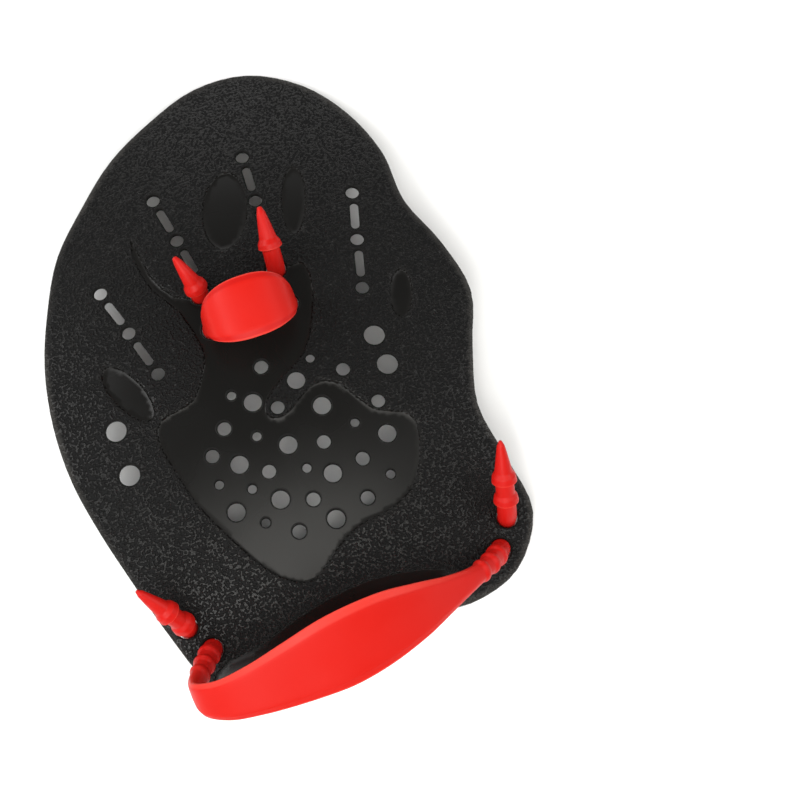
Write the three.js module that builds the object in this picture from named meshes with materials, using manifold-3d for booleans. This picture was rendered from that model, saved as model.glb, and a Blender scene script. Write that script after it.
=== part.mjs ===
// Swim hand paddle for the left hand: a domed, pierced plate that the palm lies on, with a strap
// for the fingers and a strap for the wrist. Each strap is one soft moulding, threaded through
// the plate at both ends and held by the collars on its pointed tails.
// Millimetres. +X is the thumb side, +Y points to the fingertips, +Z rises out of the hand side.
// The origin lies under the middle of the paddle, on the surface that its rim rests on.

import * as THREE from 'three';
import * as BufferGeometryUtils from 'three/addons/utils/BufferGeometryUtils.js';
import Module from 'manifold-3d';

// Plate
const PADDLE_LENGTH = 246;
const PADDLE_WIDTH = 170;
const PLATE_THICKNESS = 2.8;
const ARCH_LONG_RADIUS = 300;
const ARCH_CROSS_RADIUS = 340;
const CREST_ACROSS = -5.6;
const CREST_ALONG = 1;
const CROWN_FLATTENING = 0.35;
const PRINT_DEPTH = 0.5;
const GRID_STEP = 10;

// Perforations
const SLOT_WIDTH = 3.3;
const SLOT_LENGTH = 11.4;
const ROW_DOT = 5.3;
const ROW_PITCH = 20.2;
const SIDE_HOLE = 8.1;
const LARGE_HOLE = 6.9;
const MIDDLE_HOLE = 5.3;
const SMALL_HOLE = 3.5;

// Both straps
const STRAP_CLEARANCE = 0.45;
const BRIDGE_THICKNESS = 3.4;
const BRIDGE_LEAD = 0.2;
const TAIL_UPRIGHT = 0.9;

// Finger strap
const FINGER_SPAN = 31;
const FINGER_ACROSS = 0.6;
const FINGER_ALONG = 17.8;
const FINGER_TAIL_REACH = 15;
const FINGER_TAIL_SPREAD = 0;
const FINGER_CORD = 7;
const FINGER_COLLAR = 9.4;
const FINGER_TAIL_LENGTH = 27;
const FINGER_RISE = 25;
const FINGER_SLUMP = 3;
const FINGER_BAND_WIDTH = 24;
const FINGER_BAND_THICKNESS = 2.4;

// Wrist strap
const WRIST_SPAN = 116;
const WRIST_ACROSS = 4;
const WRIST_ALONG = -96;
const WRIST_TAIL_REACH = 12.6;
const WRIST_TAIL_SPREAD = 31;
const WRIST_CORD = 7.5;
const WRIST_COLLAR = 9.8;
const WRIST_TAIL_LENGTH = 38.5;
const WRIST_RISE = 41;
const WRIST_SLUMP = 24;
const WRIST_BAND_WIDTH = 30.5;
const WRIST_BAND_THICKNESS = 2.6;
const WRIST_RIB_HEIGHT = 0.7;
const WRIST_RIB_PITCH = 6.4;
const WRIST_RIBS = 3;

// Places on the plate: across is a share of the paddle's width, along of its length.
const outline = [
  [0.189, 0.489], [0.303, 0.44], [0.38, 0.365], [0.423, 0.277], [0.429, 0.185], [0.476, 0.099],
  [0.501, 0.009], [0.459, -0.079], [0.425, -0.169], [0.447, -0.259], [0.465, -0.35], [0.388, -0.426],
  [0.262, -0.453], [0.129, -0.441], [-0.005, -0.447], [-0.131, -0.475], [-0.259, -0.497],
  [-0.352, -0.433], [-0.4, -0.348], [-0.437, -0.259], [-0.471, -0.169], [-0.495, -0.078],
  [-0.496, 0.015], [-0.474, 0.107], [-0.429, 0.194], [-0.369, 0.277], [-0.28, 0.346],
  [-0.182, 0.41], [-0.067, 0.457], [0.058, 0.492],
];

// The palm's print, with the ring finger's at its upper left and a rough tongue reaching in.
const palmPrint = [
  [-0.194, 0.262], [-0.18, 0.19], [-0.14, 0.142], [-0.061, 0.116], [0.03, 0.127], [0.112, 0.13],
  [0.158, 0.127], [0.157, 0.081], [0.113, 0.01], [0.072, -0.02], [0.017, -0.042], [-0.023, -0.064],
  [-0.032, -0.086], [-0.008, -0.095], [0.027, -0.086], [0.069, -0.067], [0.107, -0.062],
  [0.143, -0.076], [0.169, -0.103], [0.205, -0.132], [0.257, -0.146], [0.277, -0.171],
  [0.26, -0.218], [0.222, -0.259], [0.161, -0.281], [0.081, -0.29], [0.018, -0.312],
  [-0.045, -0.343], [-0.095, -0.339], [-0.145, -0.308], [-0.201, -0.244], [-0.247, -0.177],
  [-0.269, -0.117], [-0.281, -0.069], [-0.264, -0.04], [-0.226, -0.033], [-0.179, -0.025],
  [-0.143, 0.006], [-0.122, 0.045], [-0.143, 0.114], [-0.186, 0.167], [-0.202, 0.22],
];

// The smooth lip where the wrist leaves the plate.
const wristLip = [
  [-0.342, -0.442], [-0.295, -0.416], [-0.228, -0.411], [-0.137, -0.393], [-0.047, -0.379],
  [0.051, -0.372], [0.143, -0.377], [0.22, -0.39], [0.266, -0.416], [0.285, -0.434],
  [0.2, -0.438], [0.1, -0.431], [-0.005, -0.436], [-0.1, -0.456], [-0.18, -0.476], [-0.27, -0.476],
];

// Smooth prints of the other finger pads: middle and half sizes as shares, turned by lean degrees.
const padPrints = [
  { across: -0.312, along: 0.02, halfWide: 0.034, halfLong: 0.056, lean: -24 },
  { across: 0.03, along: 0.256, halfWide: 0.052, halfLong: 0.068, lean: 20 },
  { across: 0.187, along: 0.238, halfWide: 0.028, halfLong: 0.06, lean: 18 },
  { across: 0.345, along: 0.035, halfWide: 0.025, halfLong: 0.04, lean: 19 },
];

// Rows of dots and slots, in turn, under the gaps between the fingers: the first dot's place,
// the row's lean in degrees and its count of holes. A strap's hole takes the last dot's place
// in the two middle rows.
const fingerRows = [
  { across: -0.3, along: 0.192, lean: -16, holes: 5 },
  { across: -0.118, along: 0.314, lean: -10.5, holes: 4 },
  { across: 0.11, along: 0.339, lean: 3, holes: 4 },
  { across: 0.321, along: 0.222, lean: 13.5, holes: 5 },
];

const sideHoles = [
  { across: -0.364, along: -0.028 },
  { across: -0.367, along: -0.1 },
  { across: 0.254, along: -0.017 },
  { across: 0.26, along: -0.067 },
];

// Holes under the palm, in rows that run down towards the thumb's ball.
const palmHoles = [
  { across: -0.011, along: -0.01, size: MIDDLE_HOLE },
  { across: 0.099, along: -0.022, size: SMALL_HOLE },
  { across: 0.053, along: -0.048, size: LARGE_HOLE },
  { across: 0.161, along: -0.054, size: MIDDLE_HOLE },
  { across: 0.212, along: -0.118, size: MIDDLE_HOLE },
  { across: -0.095, along: -0.038, size: SMALL_HOLE },
  { across: -0.055, along: -0.059, size: LARGE_HOLE },
  { across: -0.006, along: -0.079, size: MIDDLE_HOLE },
  { across: 0.089, along: -0.098, size: LARGE_HOLE },
  { across: -0.134, along: -0.083, size: MIDDLE_HOLE },
  { across: -0.071, along: -0.111, size: SMALL_HOLE },
  { across: -0.011, along: -0.139, size: LARGE_HOLE },
  { across: 0.066, along: -0.152, size: MIDDLE_HOLE },
  { across: 0.146, along: -0.139, size: SMALL_HOLE },
  { across: 0.207, along: -0.17, size: LARGE_HOLE },
  { across: -0.179, along: -0.117, size: MIDDLE_HOLE },
  { across: -0.128, along: -0.143, size: LARGE_HOLE },
  { across: -0.071, along: -0.168, size: MIDDLE_HOLE },
  { across: 0.011, along: -0.182, size: SMALL_HOLE },
  { across: 0.062, along: -0.202, size: LARGE_HOLE },
  { across: 0.136, along: -0.195, size: MIDDLE_HOLE },
  { across: 0.184, along: -0.231, size: SMALL_HOLE },
  { across: -0.185, along: -0.162, size: SMALL_HOLE },
  { across: -0.119, along: -0.185, size: SMALL_HOLE },
  { across: -0.067, along: -0.214, size: LARGE_HOLE },
  { across: 0.002, along: -0.23, size: MIDDLE_HOLE },
  { across: 0.118, along: -0.254, size: MIDDLE_HOLE },
  { across: -0.169, along: -0.21, size: LARGE_HOLE },
  { across: -0.115, along: -0.24, size: SMALL_HOLE },
  { across: -0.051, along: -0.269, size: MIDDLE_HOLE },
  { across: 0.036, along: -0.269, size: LARGE_HOLE },
];

// Bands, from the left neck to the right one. span is a share of half the distance between the
// neck holes, slump of the sag towards the wrist, rise of the height above the plate, wide of
// the band's width; flat is 0 for the round cord and 1 for the thin band; lean is its tilt.
const fingerBand = [
  { span: -1, slump: 0, rise: 0.1, wide: 0, flat: 0, lean: 0 },
  { span: -1.05, slump: 0.1, rise: 0.28, wide: 0.06, flat: 0.35, lean: 2 },
  { span: -1.07, slump: 0.35, rise: 0.5, wide: 0.26, flat: 1, lean: 4 },
  { span: -0.94, slump: 0.65, rise: 0.75, wide: 0.58, flat: 1, lean: 6 },
  { span: -0.66, slump: 0.85, rise: 0.91, wide: 0.84, flat: 1, lean: 6 },
  { span: -0.34, slump: 0.96, rise: 0.98, wide: 0.97, flat: 1, lean: 6 },
  { span: 0, slump: 1, rise: 1, wide: 1, flat: 1, lean: 6 },
  { span: 0.34, slump: 0.96, rise: 0.98, wide: 0.97, flat: 1, lean: 6 },
  { span: 0.66, slump: 0.85, rise: 0.91, wide: 0.84, flat: 1, lean: 6 },
  { span: 0.94, slump: 0.65, rise: 0.75, wide: 0.58, flat: 1, lean: 6 },
  { span: 1.07, slump: 0.35, rise: 0.5, wide: 0.26, flat: 1, lean: 4 },
  { span: 1.05, slump: 0.1, rise: 0.28, wide: 0.06, flat: 0.35, lean: 2 },
  { span: 1, slump: 0, rise: 0.1, wide: 0, flat: 0, lean: 0 },
];
const wristBand = [
  { span: -1.01, slump: 0.03, rise: 0.07, wide: 0, flat: 0, lean: 20 },
  { span: -1.05, slump: 0.16, rise: 0.17, wide: 0, flat: 0, lean: 22 },
  { span: -1.11, slump: 0.36, rise: 0.32, wide: 0, flat: 0.05, lean: 26 },
  { span: -1.17, slump: 0.6, rise: 0.48, wide: 0.08, flat: 0.35, lean: 30 },
  { span: -1.16, slump: 0.82, rise: 0.64, wide: 0.26, flat: 0.85, lean: 32 },
  { span: -1.02, slump: 0.98, rise: 0.76, wide: 0.4, flat: 1, lean: 32 },
  { span: -0.8, slump: 1.02, rise: 0.87, wide: 0.57, flat: 1, lean: 32 },
  { span: -0.52, slump: 0.98, rise: 0.95, wide: 0.8, flat: 1, lean: 32 },
  { span: -0.22, slump: 0.9, rise: 1, wide: 0.98, flat: 1, lean: 32 },
  { span: 0.08, slump: 0.79, rise: 0.96, wide: 0.9, flat: 1, lean: 32 },
  { span: 0.34, slump: 0.68, rise: 0.83, wide: 0.6, flat: 1, lean: 30 },
  { span: 0.56, slump: 0.54, rise: 0.64, wide: 0.26, flat: 0.8, lean: 28 },
  { span: 0.75, slump: 0.38, rise: 0.43, wide: 0.04, flat: 0.2, lean: 26 },
  { span: 0.9, slump: 0.2, rise: 0.24, wide: 0, flat: 0, lean: 22 },
  { span: 0.98, slump: 0.06, rise: 0.09, wide: 0, flat: 0, lean: 20 },
];

// Tails, from the plate to the tip: at is a share of the tail's length, wide of the cord's
// width and collar of what the collar adds to it.
const fingerTail = [
  { at: 0.1, wide: 1, collar: 0 },
  { at: 0.3, wide: 0.98, collar: 0 },
  { at: 0.35, wide: 1, collar: 1 },
  { at: 0.43, wide: 1, collar: 0.75 },
  { at: 0.5, wide: 0.95, collar: 0.05 },
  { at: 0.72, wide: 0.72, collar: 0 },
  { at: 0.9, wide: 0.48, collar: 0 },
  { at: 0.97, wide: 0.3, collar: 0 },
];
const wristTail = [
  { at: 0.08, wide: 1, collar: 0 },
  { at: 0.24, wide: 0.98, collar: 0 },
  { at: 0.27, wide: 1, collar: 1 },
  { at: 0.33, wide: 1, collar: 0.7 },
  { at: 0.37, wide: 0.96, collar: 0 },
  { at: 0.49, wide: 0.96, collar: 0 },
  { at: 0.52, wide: 1, collar: 1 },
  { at: 0.59, wide: 1, collar: 0.7 },
  { at: 0.64, wide: 0.92, collar: 0 },
  { at: 0.82, wide: 0.62, collar: 0 },
  { at: 0.94, wide: 0.4, collar: 0 },
  { at: 0.98, wide: 0.22, collar: 0 },
];

// Each tail's lean in degrees: heading turns from the fingertips to the thumb, lift from flat;
// slip is how far it was pulled out of its hole more than usual, as a share of the cord.
const fingerTailLeans = {
  left: { heading: -21, lift: 34, slip: -0.65 },
  right: { heading: 3, lift: 24, slip: 0.3 },
};
const wristTailLeans = {
  left: { heading: -39, lift: 37, slip: -0.9 },
  right: { heading: 11, lift: 41, slip: 0 },
};

const plateMaterial = new THREE.MeshStandardMaterial({ color: 0x2c2c2b, roughness: 0.55, metalness: 0 });
const strapMaterial = new THREE.MeshStandardMaterial({ color: 0xf0332a, roughness: 0.45, metalness: 0 });

const kernel = await Module();
kernel.setup();

// Turns a closed geometry into a solid that can be joined and cut.
function toSolid(geometry) {
  const bare = geometry.clone();
  bare.deleteAttribute('normal');
  bare.deleteAttribute('uv');
  const merged = BufferGeometryUtils.mergeVertices(bare, 1e-4);
  return new kernel.Manifold(new kernel.Mesh({
    numProp: 3,
    vertProperties: new Float32Array(merged.attributes.position.array),
    triVerts: new Uint32Array(merged.index.array),
  }));
}

// Turns a finished solid back into a geometry.
function toGeometry(solid) {
  const mesh = solid.getMesh();
  const geometry = new THREE.BufferGeometry();
  geometry.setAttribute('position', new THREE.BufferAttribute(mesh.vertProperties, 3));
  geometry.setIndex(new THREE.BufferAttribute(mesh.triVerts, 1));
  geometry.computeVertexNormals();
  return geometry;
}

// Makes a geometry from rows of points: lists of faces over one shared list of corners.
function indexedGeometry(corners, faces) {
  const geometry = new THREE.BufferGeometry();
  geometry.setAttribute('position', new THREE.Float32BufferAttribute(corners.flatMap((p) => p.toArray()), 3));
  geometry.setIndex(faces);
  return geometry;
}

// Closed smooth curve through the places of a table, as points in millimetres.
function smoothLoop(table, stepsPerPoint) {
  const knots = table.map(([across, along]) => (
    new THREE.Vector3(across * PADDLE_WIDTH, along * PADDLE_LENGTH, 0)));
  const curve = new THREE.CatmullRomCurve3(knots, true, 'catmullrom', 0.5);
  const count = table.length * stepsPerPoint;
  return Array.from({ length: count }, (_, i) => {
    const point = curve.getPoint(i / count);
    return new THREE.Vector2(point.x, point.y);
  });
}

// How far the dome has dropped below its crest at a place, before the crown is flattened.
function domeDrop(x, y) {
  return (x - CREST_ACROSS) ** 2 / (2 * ARCH_CROSS_RADIUS) + (y - CREST_ALONG) ** 2 / (2 * ARCH_LONG_RADIUS);
}

const plateOutline = smoothLoop(outline, 4);
const rimDrop = Math.max(...plateOutline.map((p) => domeDrop(p.x, p.y)));
const crestHeight = rimDrop + PLATE_THICKNESS;

// Height of the hand side at a place.
function topHeight(x, y) {
  return crestHeight - Math.max(domeDrop(x, y), CROWN_FLATTENING);
}

// Solid layer between the hand side moved by two offsets, a little larger than the outline.
function domedLayer(lowOffset, highOffset) {
  const columns = [];
  const rows = [];
  const left = Math.ceil((PADDLE_WIDTH / 2 + CREST_ACROSS) / GRID_STEP) + 1;
  const right = Math.ceil((PADDLE_WIDTH / 2 - CREST_ACROSS) / GRID_STEP) + 1;
  const lower = Math.ceil((PADDLE_LENGTH / 2 + CREST_ALONG) / GRID_STEP) + 1;
  const upper = Math.ceil((PADDLE_LENGTH / 2 - CREST_ALONG) / GRID_STEP) + 1;
  for (let i = -left; i <= right; i += 1) columns.push(CREST_ACROSS + i * GRID_STEP);
  for (let j = -lower; j <= upper; j += 1) rows.push(CREST_ALONG + j * GRID_STEP);
  const corners = [];
  for (const offset of [lowOffset, highOffset]) {
    for (const y of rows) {
      for (const x of columns) corners.push(new THREE.Vector3(x, y, topHeight(x, y) + offset));
    }
  }
  const wide = columns.length;
  const high = rows.length;
  const layerSize = wide * high;
  const faces = [];
  for (let j = 0; j < high - 1; j += 1) {
    for (let i = 0; i < wide - 1; i += 1) {
      const a = j * wide + i;
      const b = a + 1;
      const c = a + wide + 1;
      const d = a + wide;
      faces.push(a, c, b, a, d, c);
      faces.push(a + layerSize, b + layerSize, c + layerSize, a + layerSize, c + layerSize, d + layerSize);
    }
  }
  const rim = [];
  for (let i = 0; i < wide - 1; i += 1) rim.push(i);
  for (let j = 0; j < high - 1; j += 1) rim.push(j * wide + wide - 1);
  for (let i = wide - 1; i > 0; i -= 1) rim.push((high - 1) * wide + i);
  for (let j = high - 1; j > 0; j -= 1) rim.push(j * wide);
  rim.forEach((a, k) => {
    const b = rim[(k + 1) % rim.length];
    faces.push(a, b, b + layerSize, a, b + layerSize, a + layerSize);
  });
  return toSolid(indexedGeometry(corners, faces));
}

// Upright prism over a closed line of points, tall enough to pass through the whole plate.
function uprightPrism(points) {
  const geometry = new THREE.ExtrudeGeometry(new THREE.Shape(points), {
    depth: crestHeight * 2,
    bevelEnabled: false,
  });
  geometry.translate(0, 0, -crestHeight / 2);
  return toSolid(geometry);
}

// Points of a circle.
function circlePoints(x, y, diameter) {
  const sides = Math.max(10, 2 * Math.round(diameter));
  return Array.from({ length: sides }, (_, i) => {
    const angle = (2 * Math.PI * i) / sides;
    return new THREE.Vector2(x + (diameter / 2) * Math.cos(angle), y + (diameter / 2) * Math.sin(angle));
  });
}

// Points of an oval that leans by some degrees from the fingertips to the thumb.
function ovalPoints(x, y, halfWide, halfLong, lean, sides) {
  const turn = THREE.MathUtils.degToRad(-lean);
  return Array.from({ length: sides }, (_, i) => {
    const angle = (2 * Math.PI * i) / sides;
    const point = new THREE.Vector2(halfWide * Math.cos(angle), halfLong * Math.sin(angle));
    return point.rotateAround(new THREE.Vector2(), turn).add(new THREE.Vector2(x, y));
  });
}

// Points of a slot with round ends that leans like its row.
function slotPoints(x, y, lean) {
  const endSides = 5;
  const reach = (SLOT_LENGTH - SLOT_WIDTH) / 2;
  const turn = THREE.MathUtils.degToRad(-lean);
  const points = [];
  for (const side of [1, -1]) {
    for (let i = 0; i <= endSides; i += 1) {
      const angle = (Math.PI * i) / endSides + (side < 0 ? Math.PI : 0);
      const point = new THREE.Vector2(
        (SLOT_WIDTH / 2) * Math.cos(angle),
        (SLOT_WIDTH / 2) * Math.sin(angle) + side * reach,
      );
      points.push(point.rotateAround(new THREE.Vector2(), turn).add(new THREE.Vector2(x, y)));
    }
  }
  return points;
}

// Dots and slots of one row, in turn, from the fingertips down.
function fingerRowCutters(row) {
  const lean = THREE.MathUtils.degToRad(row.lean);
  const cutters = [];
  for (let i = 0; i < row.holes; i += 1) {
    const down = (i * ROW_PITCH) / 2;
    const x = row.across * PADDLE_WIDTH - down * Math.sin(lean);
    const y = row.along * PADDLE_LENGTH - down * Math.cos(lean);
    cutters.push(i % 2 === 0 ? circlePoints(x, y, ROW_DOT) : slotPoints(x, y, row.lean));
  }
  return cutters.map(uprightPrism);
}

// Where a strap's cord goes through the plate: its neck's hole and its tail's, on one side.
function strapHoles(strap, side) {
  const neck = new THREE.Vector2(strap.across + (side * strap.span) / 2, strap.along);
  const spread = THREE.MathUtils.degToRad(strap.tailSpread) * side;
  const toTail = new THREE.Vector2(Math.sin(spread), Math.cos(spread));
  return { neck, toTail, tail: neck.clone().addScaledVector(toTail, strap.tailReach) };
}

const fingerStrap = {
  span: FINGER_SPAN,
  across: FINGER_ACROSS,
  along: FINGER_ALONG,
  tailReach: FINGER_TAIL_REACH,
  tailSpread: FINGER_TAIL_SPREAD,
  cord: FINGER_CORD,
  collar: FINGER_COLLAR,
  tailLength: FINGER_TAIL_LENGTH,
  rise: FINGER_RISE,
  slump: FINGER_SLUMP,
  bandWidth: FINGER_BAND_WIDTH,
  bandThickness: FINGER_BAND_THICKNESS,
  ribHeight: 0,
  ribPitch: FINGER_CORD / 2,
  ribs: 0,
  band: fingerBand,
  tail: fingerTail,
  leans: fingerTailLeans,
};

const wristStrap = {
  span: WRIST_SPAN,
  across: WRIST_ACROSS,
  along: WRIST_ALONG,
  tailReach: WRIST_TAIL_REACH,
  tailSpread: WRIST_TAIL_SPREAD,
  cord: WRIST_CORD,
  collar: WRIST_COLLAR,
  tailLength: WRIST_TAIL_LENGTH,
  rise: WRIST_RISE,
  slump: WRIST_SLUMP,
  bandWidth: WRIST_BAND_WIDTH,
  bandThickness: WRIST_BAND_THICKNESS,
  ribHeight: WRIST_RIB_HEIGHT,
  ribPitch: WRIST_RIB_PITCH,
  ribs: WRIST_RIBS,
  band: wristBand,
  tail: wristTail,
  leans: wristTailLeans,
};

// The plate: a domed sheet cut to its outline, printed by the hand and pierced.
function buildPlate() {
  let plate = domedLayer(-PLATE_THICKNESS, 0).intersect(uprightPrism(plateOutline));
  const printLoops = [smoothLoop(palmPrint, 2), smoothLoop(wristLip, 2)];
  for (const pad of padPrints) {
    printLoops.push(ovalPoints(
      pad.across * PADDLE_WIDTH,
      pad.along * PADDLE_LENGTH,
      pad.halfWide * PADDLE_WIDTH,
      pad.halfLong * PADDLE_LENGTH,
      pad.lean,
      18,
    ));
  }
  const skin = domedLayer(-PRINT_DEPTH, PLATE_THICKNESS);
  for (const loop of printLoops) plate = plate.subtract(skin.intersect(uprightPrism(loop)));
  const cutters = fingerRows.flatMap(fingerRowCutters);
  for (const hole of palmHoles) {
    cutters.push(uprightPrism(circlePoints(hole.across * PADDLE_WIDTH, hole.along * PADDLE_LENGTH, hole.size)));
  }
  for (const hole of sideHoles) {
    cutters.push(uprightPrism(circlePoints(hole.across * PADDLE_WIDTH, hole.along * PADDLE_LENGTH, SIDE_HOLE)));
  }
  for (const strap of [fingerStrap, wristStrap]) {
    for (const side of [-1, 1]) {
      const holes = strapHoles(strap, side);
      for (const hole of [holes.neck, holes.tail]) {
        cutters.push(uprightPrism(circlePoints(hole.x, hole.y, strap.cord + 2 * STRAP_CLEARANCE)));
      }
    }
  }
  return plate.subtract(kernel.Manifold.union(cutters));
}

// Section shapes round a strap: [share of half the width, share of half the thickness].
const RING_SIDES = 12;
const roundSection = Array.from({ length: RING_SIDES }, (_, i) => {
  const angle = (2 * Math.PI * i) / RING_SIDES;
  return [Math.cos(angle), Math.sin(angle)];
});
const BAND_MARGIN = 0.72;
const bandSection = [
  [1, 0], [0.96, 0.45], [BAND_MARGIN, 1], [0, 1], [-BAND_MARGIN, 1], [-0.96, 0.45],
  [-1, 0], [-0.96, -0.45], [-BAND_MARGIN, -1], [0, -1], [BAND_MARGIN, -1], [0.96, -0.45],
];

// Ring of a strap: a section laid out on its width and thickness directions.
function ring(centre, widthAxis, thicknessAxis, flat) {
  return roundSection.map(([c, s], i) => {
    const across = THREE.MathUtils.lerp(c, bandSection[i][0], flat);
    const through = THREE.MathUtils.lerp(s, bandSection[i][1], flat);
    return centre.clone().addScaledVector(widthAxis, across).addScaledVector(thicknessAxis, through);
  });
}

// Ring square to the strap's run, with its width as near the wanted direction as it can be.
function ringOnRun(centre, run, wanted, wide, thick, flat) {
  const widthAxis = wanted.clone().addScaledVector(run, -wanted.dot(run)).normalize();
  const thicknessAxis = run.clone().cross(widthAxis).normalize();
  return ring(centre, widthAxis.multiplyScalar(wide / 2), thicknessAxis.multiplyScalar(thick / 2), flat);
}

// Height of the highest part of a strap hole's rim.
function holeTop(strap, hole) {
  const rim = circlePoints(hole.x, hole.y, strap.cord + 2 * STRAP_CLEARANCE);
  return Math.max(...rim.map((point) => topHeight(point.x, point.y)));
}

// Rings of a tail from the plate's hole to its tip, with the tip's point.
function tailRings(strap, side) {
  const { tail } = strapHoles(strap, side);
  const lean = side < 0 ? strap.leans.left : strap.leans.right;
  const heading = THREE.MathUtils.degToRad(lean.heading);
  const lift = THREE.MathUtils.degToRad(lean.lift);
  const away = new THREE.Vector3(
    Math.sin(heading) * Math.cos(lift),
    Math.cos(heading) * Math.cos(lift),
    Math.sin(lift),
  );
  const base = new THREE.Vector3(tail.x, tail.y, holeTop(strap, tail));
  const upright = strap.cord * TAIL_UPRIGHT;
  const bend = base.clone().add(new THREE.Vector3(0, 0, upright));
  const slip = lean.slip * strap.cord;
  const tip = bend.clone().addScaledVector(away, strap.tailLength + slip - upright);
  const curve = new THREE.QuadraticBezierCurve3(base, bend, tip);
  const sideways = new THREE.Vector3(Math.cos(heading), -Math.sin(heading), 0);
  const rings = strap.tail.map((row) => {
    const wide = row.wide * strap.cord + row.collar * (strap.collar - strap.cord);
    const out = row.at * strap.tailLength + slip * Math.min(1, row.at / strap.tail[1].at);
    const at = curve.getUtoTmapping(out / (strap.tailLength + slip));
    return ringOnRun(curve.getPoint(at), curve.getTangent(at), sideways, wide, wide, 0);
  });
  return { rings, tip };
}

// Rings where the cord passes through the plate and runs flat under it, from tail to neck. Each
// one winds the same way round the cord's run, down at the tail and up at the neck.
function bridgeRings(strap, side) {
  const { neck, tail, toTail } = strapHoles(strap, side);
  const half = strap.cord / 2;
  const along = new THREE.Vector3(toTail.x, toTail.y, 0);
  const across = new THREE.Vector3(toTail.y, -toTail.x, 0);
  const under = (hole, aside) => {
    const heights = [-1, 0, 1].map((i) => {
      const step = along.clone().multiplyScalar(i * (half + STRAP_CLEARANCE)).addScaledVector(across, aside);
      return topHeight(hole.x + step.x, hole.y + step.y);
    });
    return Math.min(...heights) - PLATE_THICKNESS - STRAP_CLEARANCE;
  };
  const rings = [];
  for (const [hole, inward] of [[tail, -1], [neck, 1]]) {
    const inwards = along.clone().multiplyScalar(inward);
    const level = new THREE.Vector3(hole.x, hole.y, holeTop(strap, hole));
    const lowest = Math.min(under(hole, 0), (under(hole, half) + under(hole, -half)) / 2);
    const tilted = across.clone().setZ((under(hole, half) - under(hole, -half)) / strap.cord);
    tilted.multiplyScalar(half);
    const corner = level.clone().setZ(lowest).addScaledVector(inwards, half);
    const outer = level.clone().setZ(lowest - BRIDGE_THICKNESS * 0.75).addScaledVector(inwards, -half * 0.8);
    const upright = ring(
      level,
      across.clone().multiplyScalar(half),
      inwards.clone().multiplyScalar(half),
      0,
    );
    const mitre = ring(
      corner.clone().add(outer).multiplyScalar(0.5),
      tilted,
      corner.clone().sub(outer).multiplyScalar(0.5),
      0,
    );
    const foot = ring(
      corner.clone().setZ(corner.z - BRIDGE_THICKNESS / 2).addScaledVector(inwards, BRIDGE_LEAD),
      tilted,
      new THREE.Vector3(0, 0, BRIDGE_THICKNESS / 2),
      0,
    );
    rings.push(...(inward < 0 ? [upright, mitre, foot] : [foot, mitre, upright]));
  }
  return rings;
}

// Rings of the band between the two neck holes. The first and last lie half a rib's pitch up the
// necks, where a leaning ring clears the upright one in its hole.
function bandRings(strap) {
  const neckHeights = [-1, 1].map((side) => {
    const { neck } = strapHoles(strap, side);
    return topHeight(neck.x, neck.y);
  });
  const centres = strap.band.map((row) => new THREE.Vector3(
    strap.across + (row.span * strap.span) / 2,
    strap.along - row.slump * strap.slump,
    THREE.MathUtils.lerp(neckHeights[0], neckHeights[1], (row.span + 1) / 2) + row.rise * strap.rise,
  ));
  const curve = new THREE.CatmullRomCurve3(centres, false, 'centripetal');
  const length = curve.getLength();
  const stops = [];
  const neckStops = 2 * strap.ribs + 1;
  const neck = (neckStops * strap.ribPitch) / 2;
  for (let i = 1; i < neckStops; i += 1) stops.push({ at: (i * strap.ribPitch) / 2, rib: i % 2 });
  const bandStops = strap.band.length * 2 - 3;
  for (let i = 0; i <= bandStops; i += 1) {
    stops.push({ at: neck + ((length - 2 * neck) * i) / bandStops, rib: 0 });
  }
  for (let i = neckStops - 1; i >= 1; i -= 1) {
    stops.push({ at: length - (i * strap.ribPitch) / 2, rib: i % 2 });
  }
  return stops.map((stop) => {
    const t = curve.getUtoTmapping(0, stop.at);
    const at = Math.min(t, 0.9999) * (strap.band.length - 1);
    const low = strap.band[Math.floor(at)];
    const high = strap.band[Math.floor(at) + 1];
    const between = (key) => THREE.MathUtils.lerp(low[key], high[key], at - Math.floor(at));
    const lean = THREE.MathUtils.degToRad(between('lean'));
    const flat = between('flat');
    const rib = stop.rib * strap.ribHeight * 2;
    const wide = strap.cord + rib + between('wide') * (strap.bandWidth - strap.cord);
    const thick = THREE.MathUtils.lerp(strap.cord + rib, strap.bandThickness, Math.sqrt(flat));
    const wanted = new THREE.Vector3(0, Math.cos(lean), Math.sin(lean));
    return ringOnRun(curve.getPoint(t), curve.getTangent(t), wanted, wide, thick, flat);
  });
}

// Turns a ring's numbering so that it follows the ring before it without a twist.
function followRing(before, now) {
  let best = now;
  let bestSum = Infinity;
  for (let shift = 0; shift < now.length; shift += 1) {
    const turned = now.map((_, i) => now[(i + shift) % now.length]);
    const sum = turned.reduce((total, point, i) => total + point.distanceToSquared(before[i]), 0);
    if (sum < bestSum) {
      best = turned;
      bestSum = sum;
    }
  }
  return best;
}

// Closed skin over rings in order, pointed at both ends.
function loft(rings, firstTip, lastTip) {
  const followed = [rings[0]];
  for (const now of rings.slice(1)) followed.push(followRing(followed[followed.length - 1], now));
  const corners = followed.flat();
  const first = corners.push(firstTip) - 1;
  const last = corners.push(lastTip) - 1;
  const faces = [];
  for (let i = 0; i < RING_SIDES; i += 1) {
    const j = (i + 1) % RING_SIDES;
    faces.push(first, j, i);
    for (let k = 0; k < followed.length - 1; k += 1) {
      const a = k * RING_SIDES + i;
      const b = k * RING_SIDES + j;
      faces.push(a, b, b + RING_SIDES, a, b + RING_SIDES, a + RING_SIDES);
    }
    const end = (followed.length - 1) * RING_SIDES;
    faces.push(end + i, end + j, last);
  }
  return toSolid(indexedGeometry(corners, faces));
}

// Rings of a run taken the other way, each wound round its new direction.
function backwards(rings) {
  return rings.slice().reverse().map((points) => points.slice().reverse());
}

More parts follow.
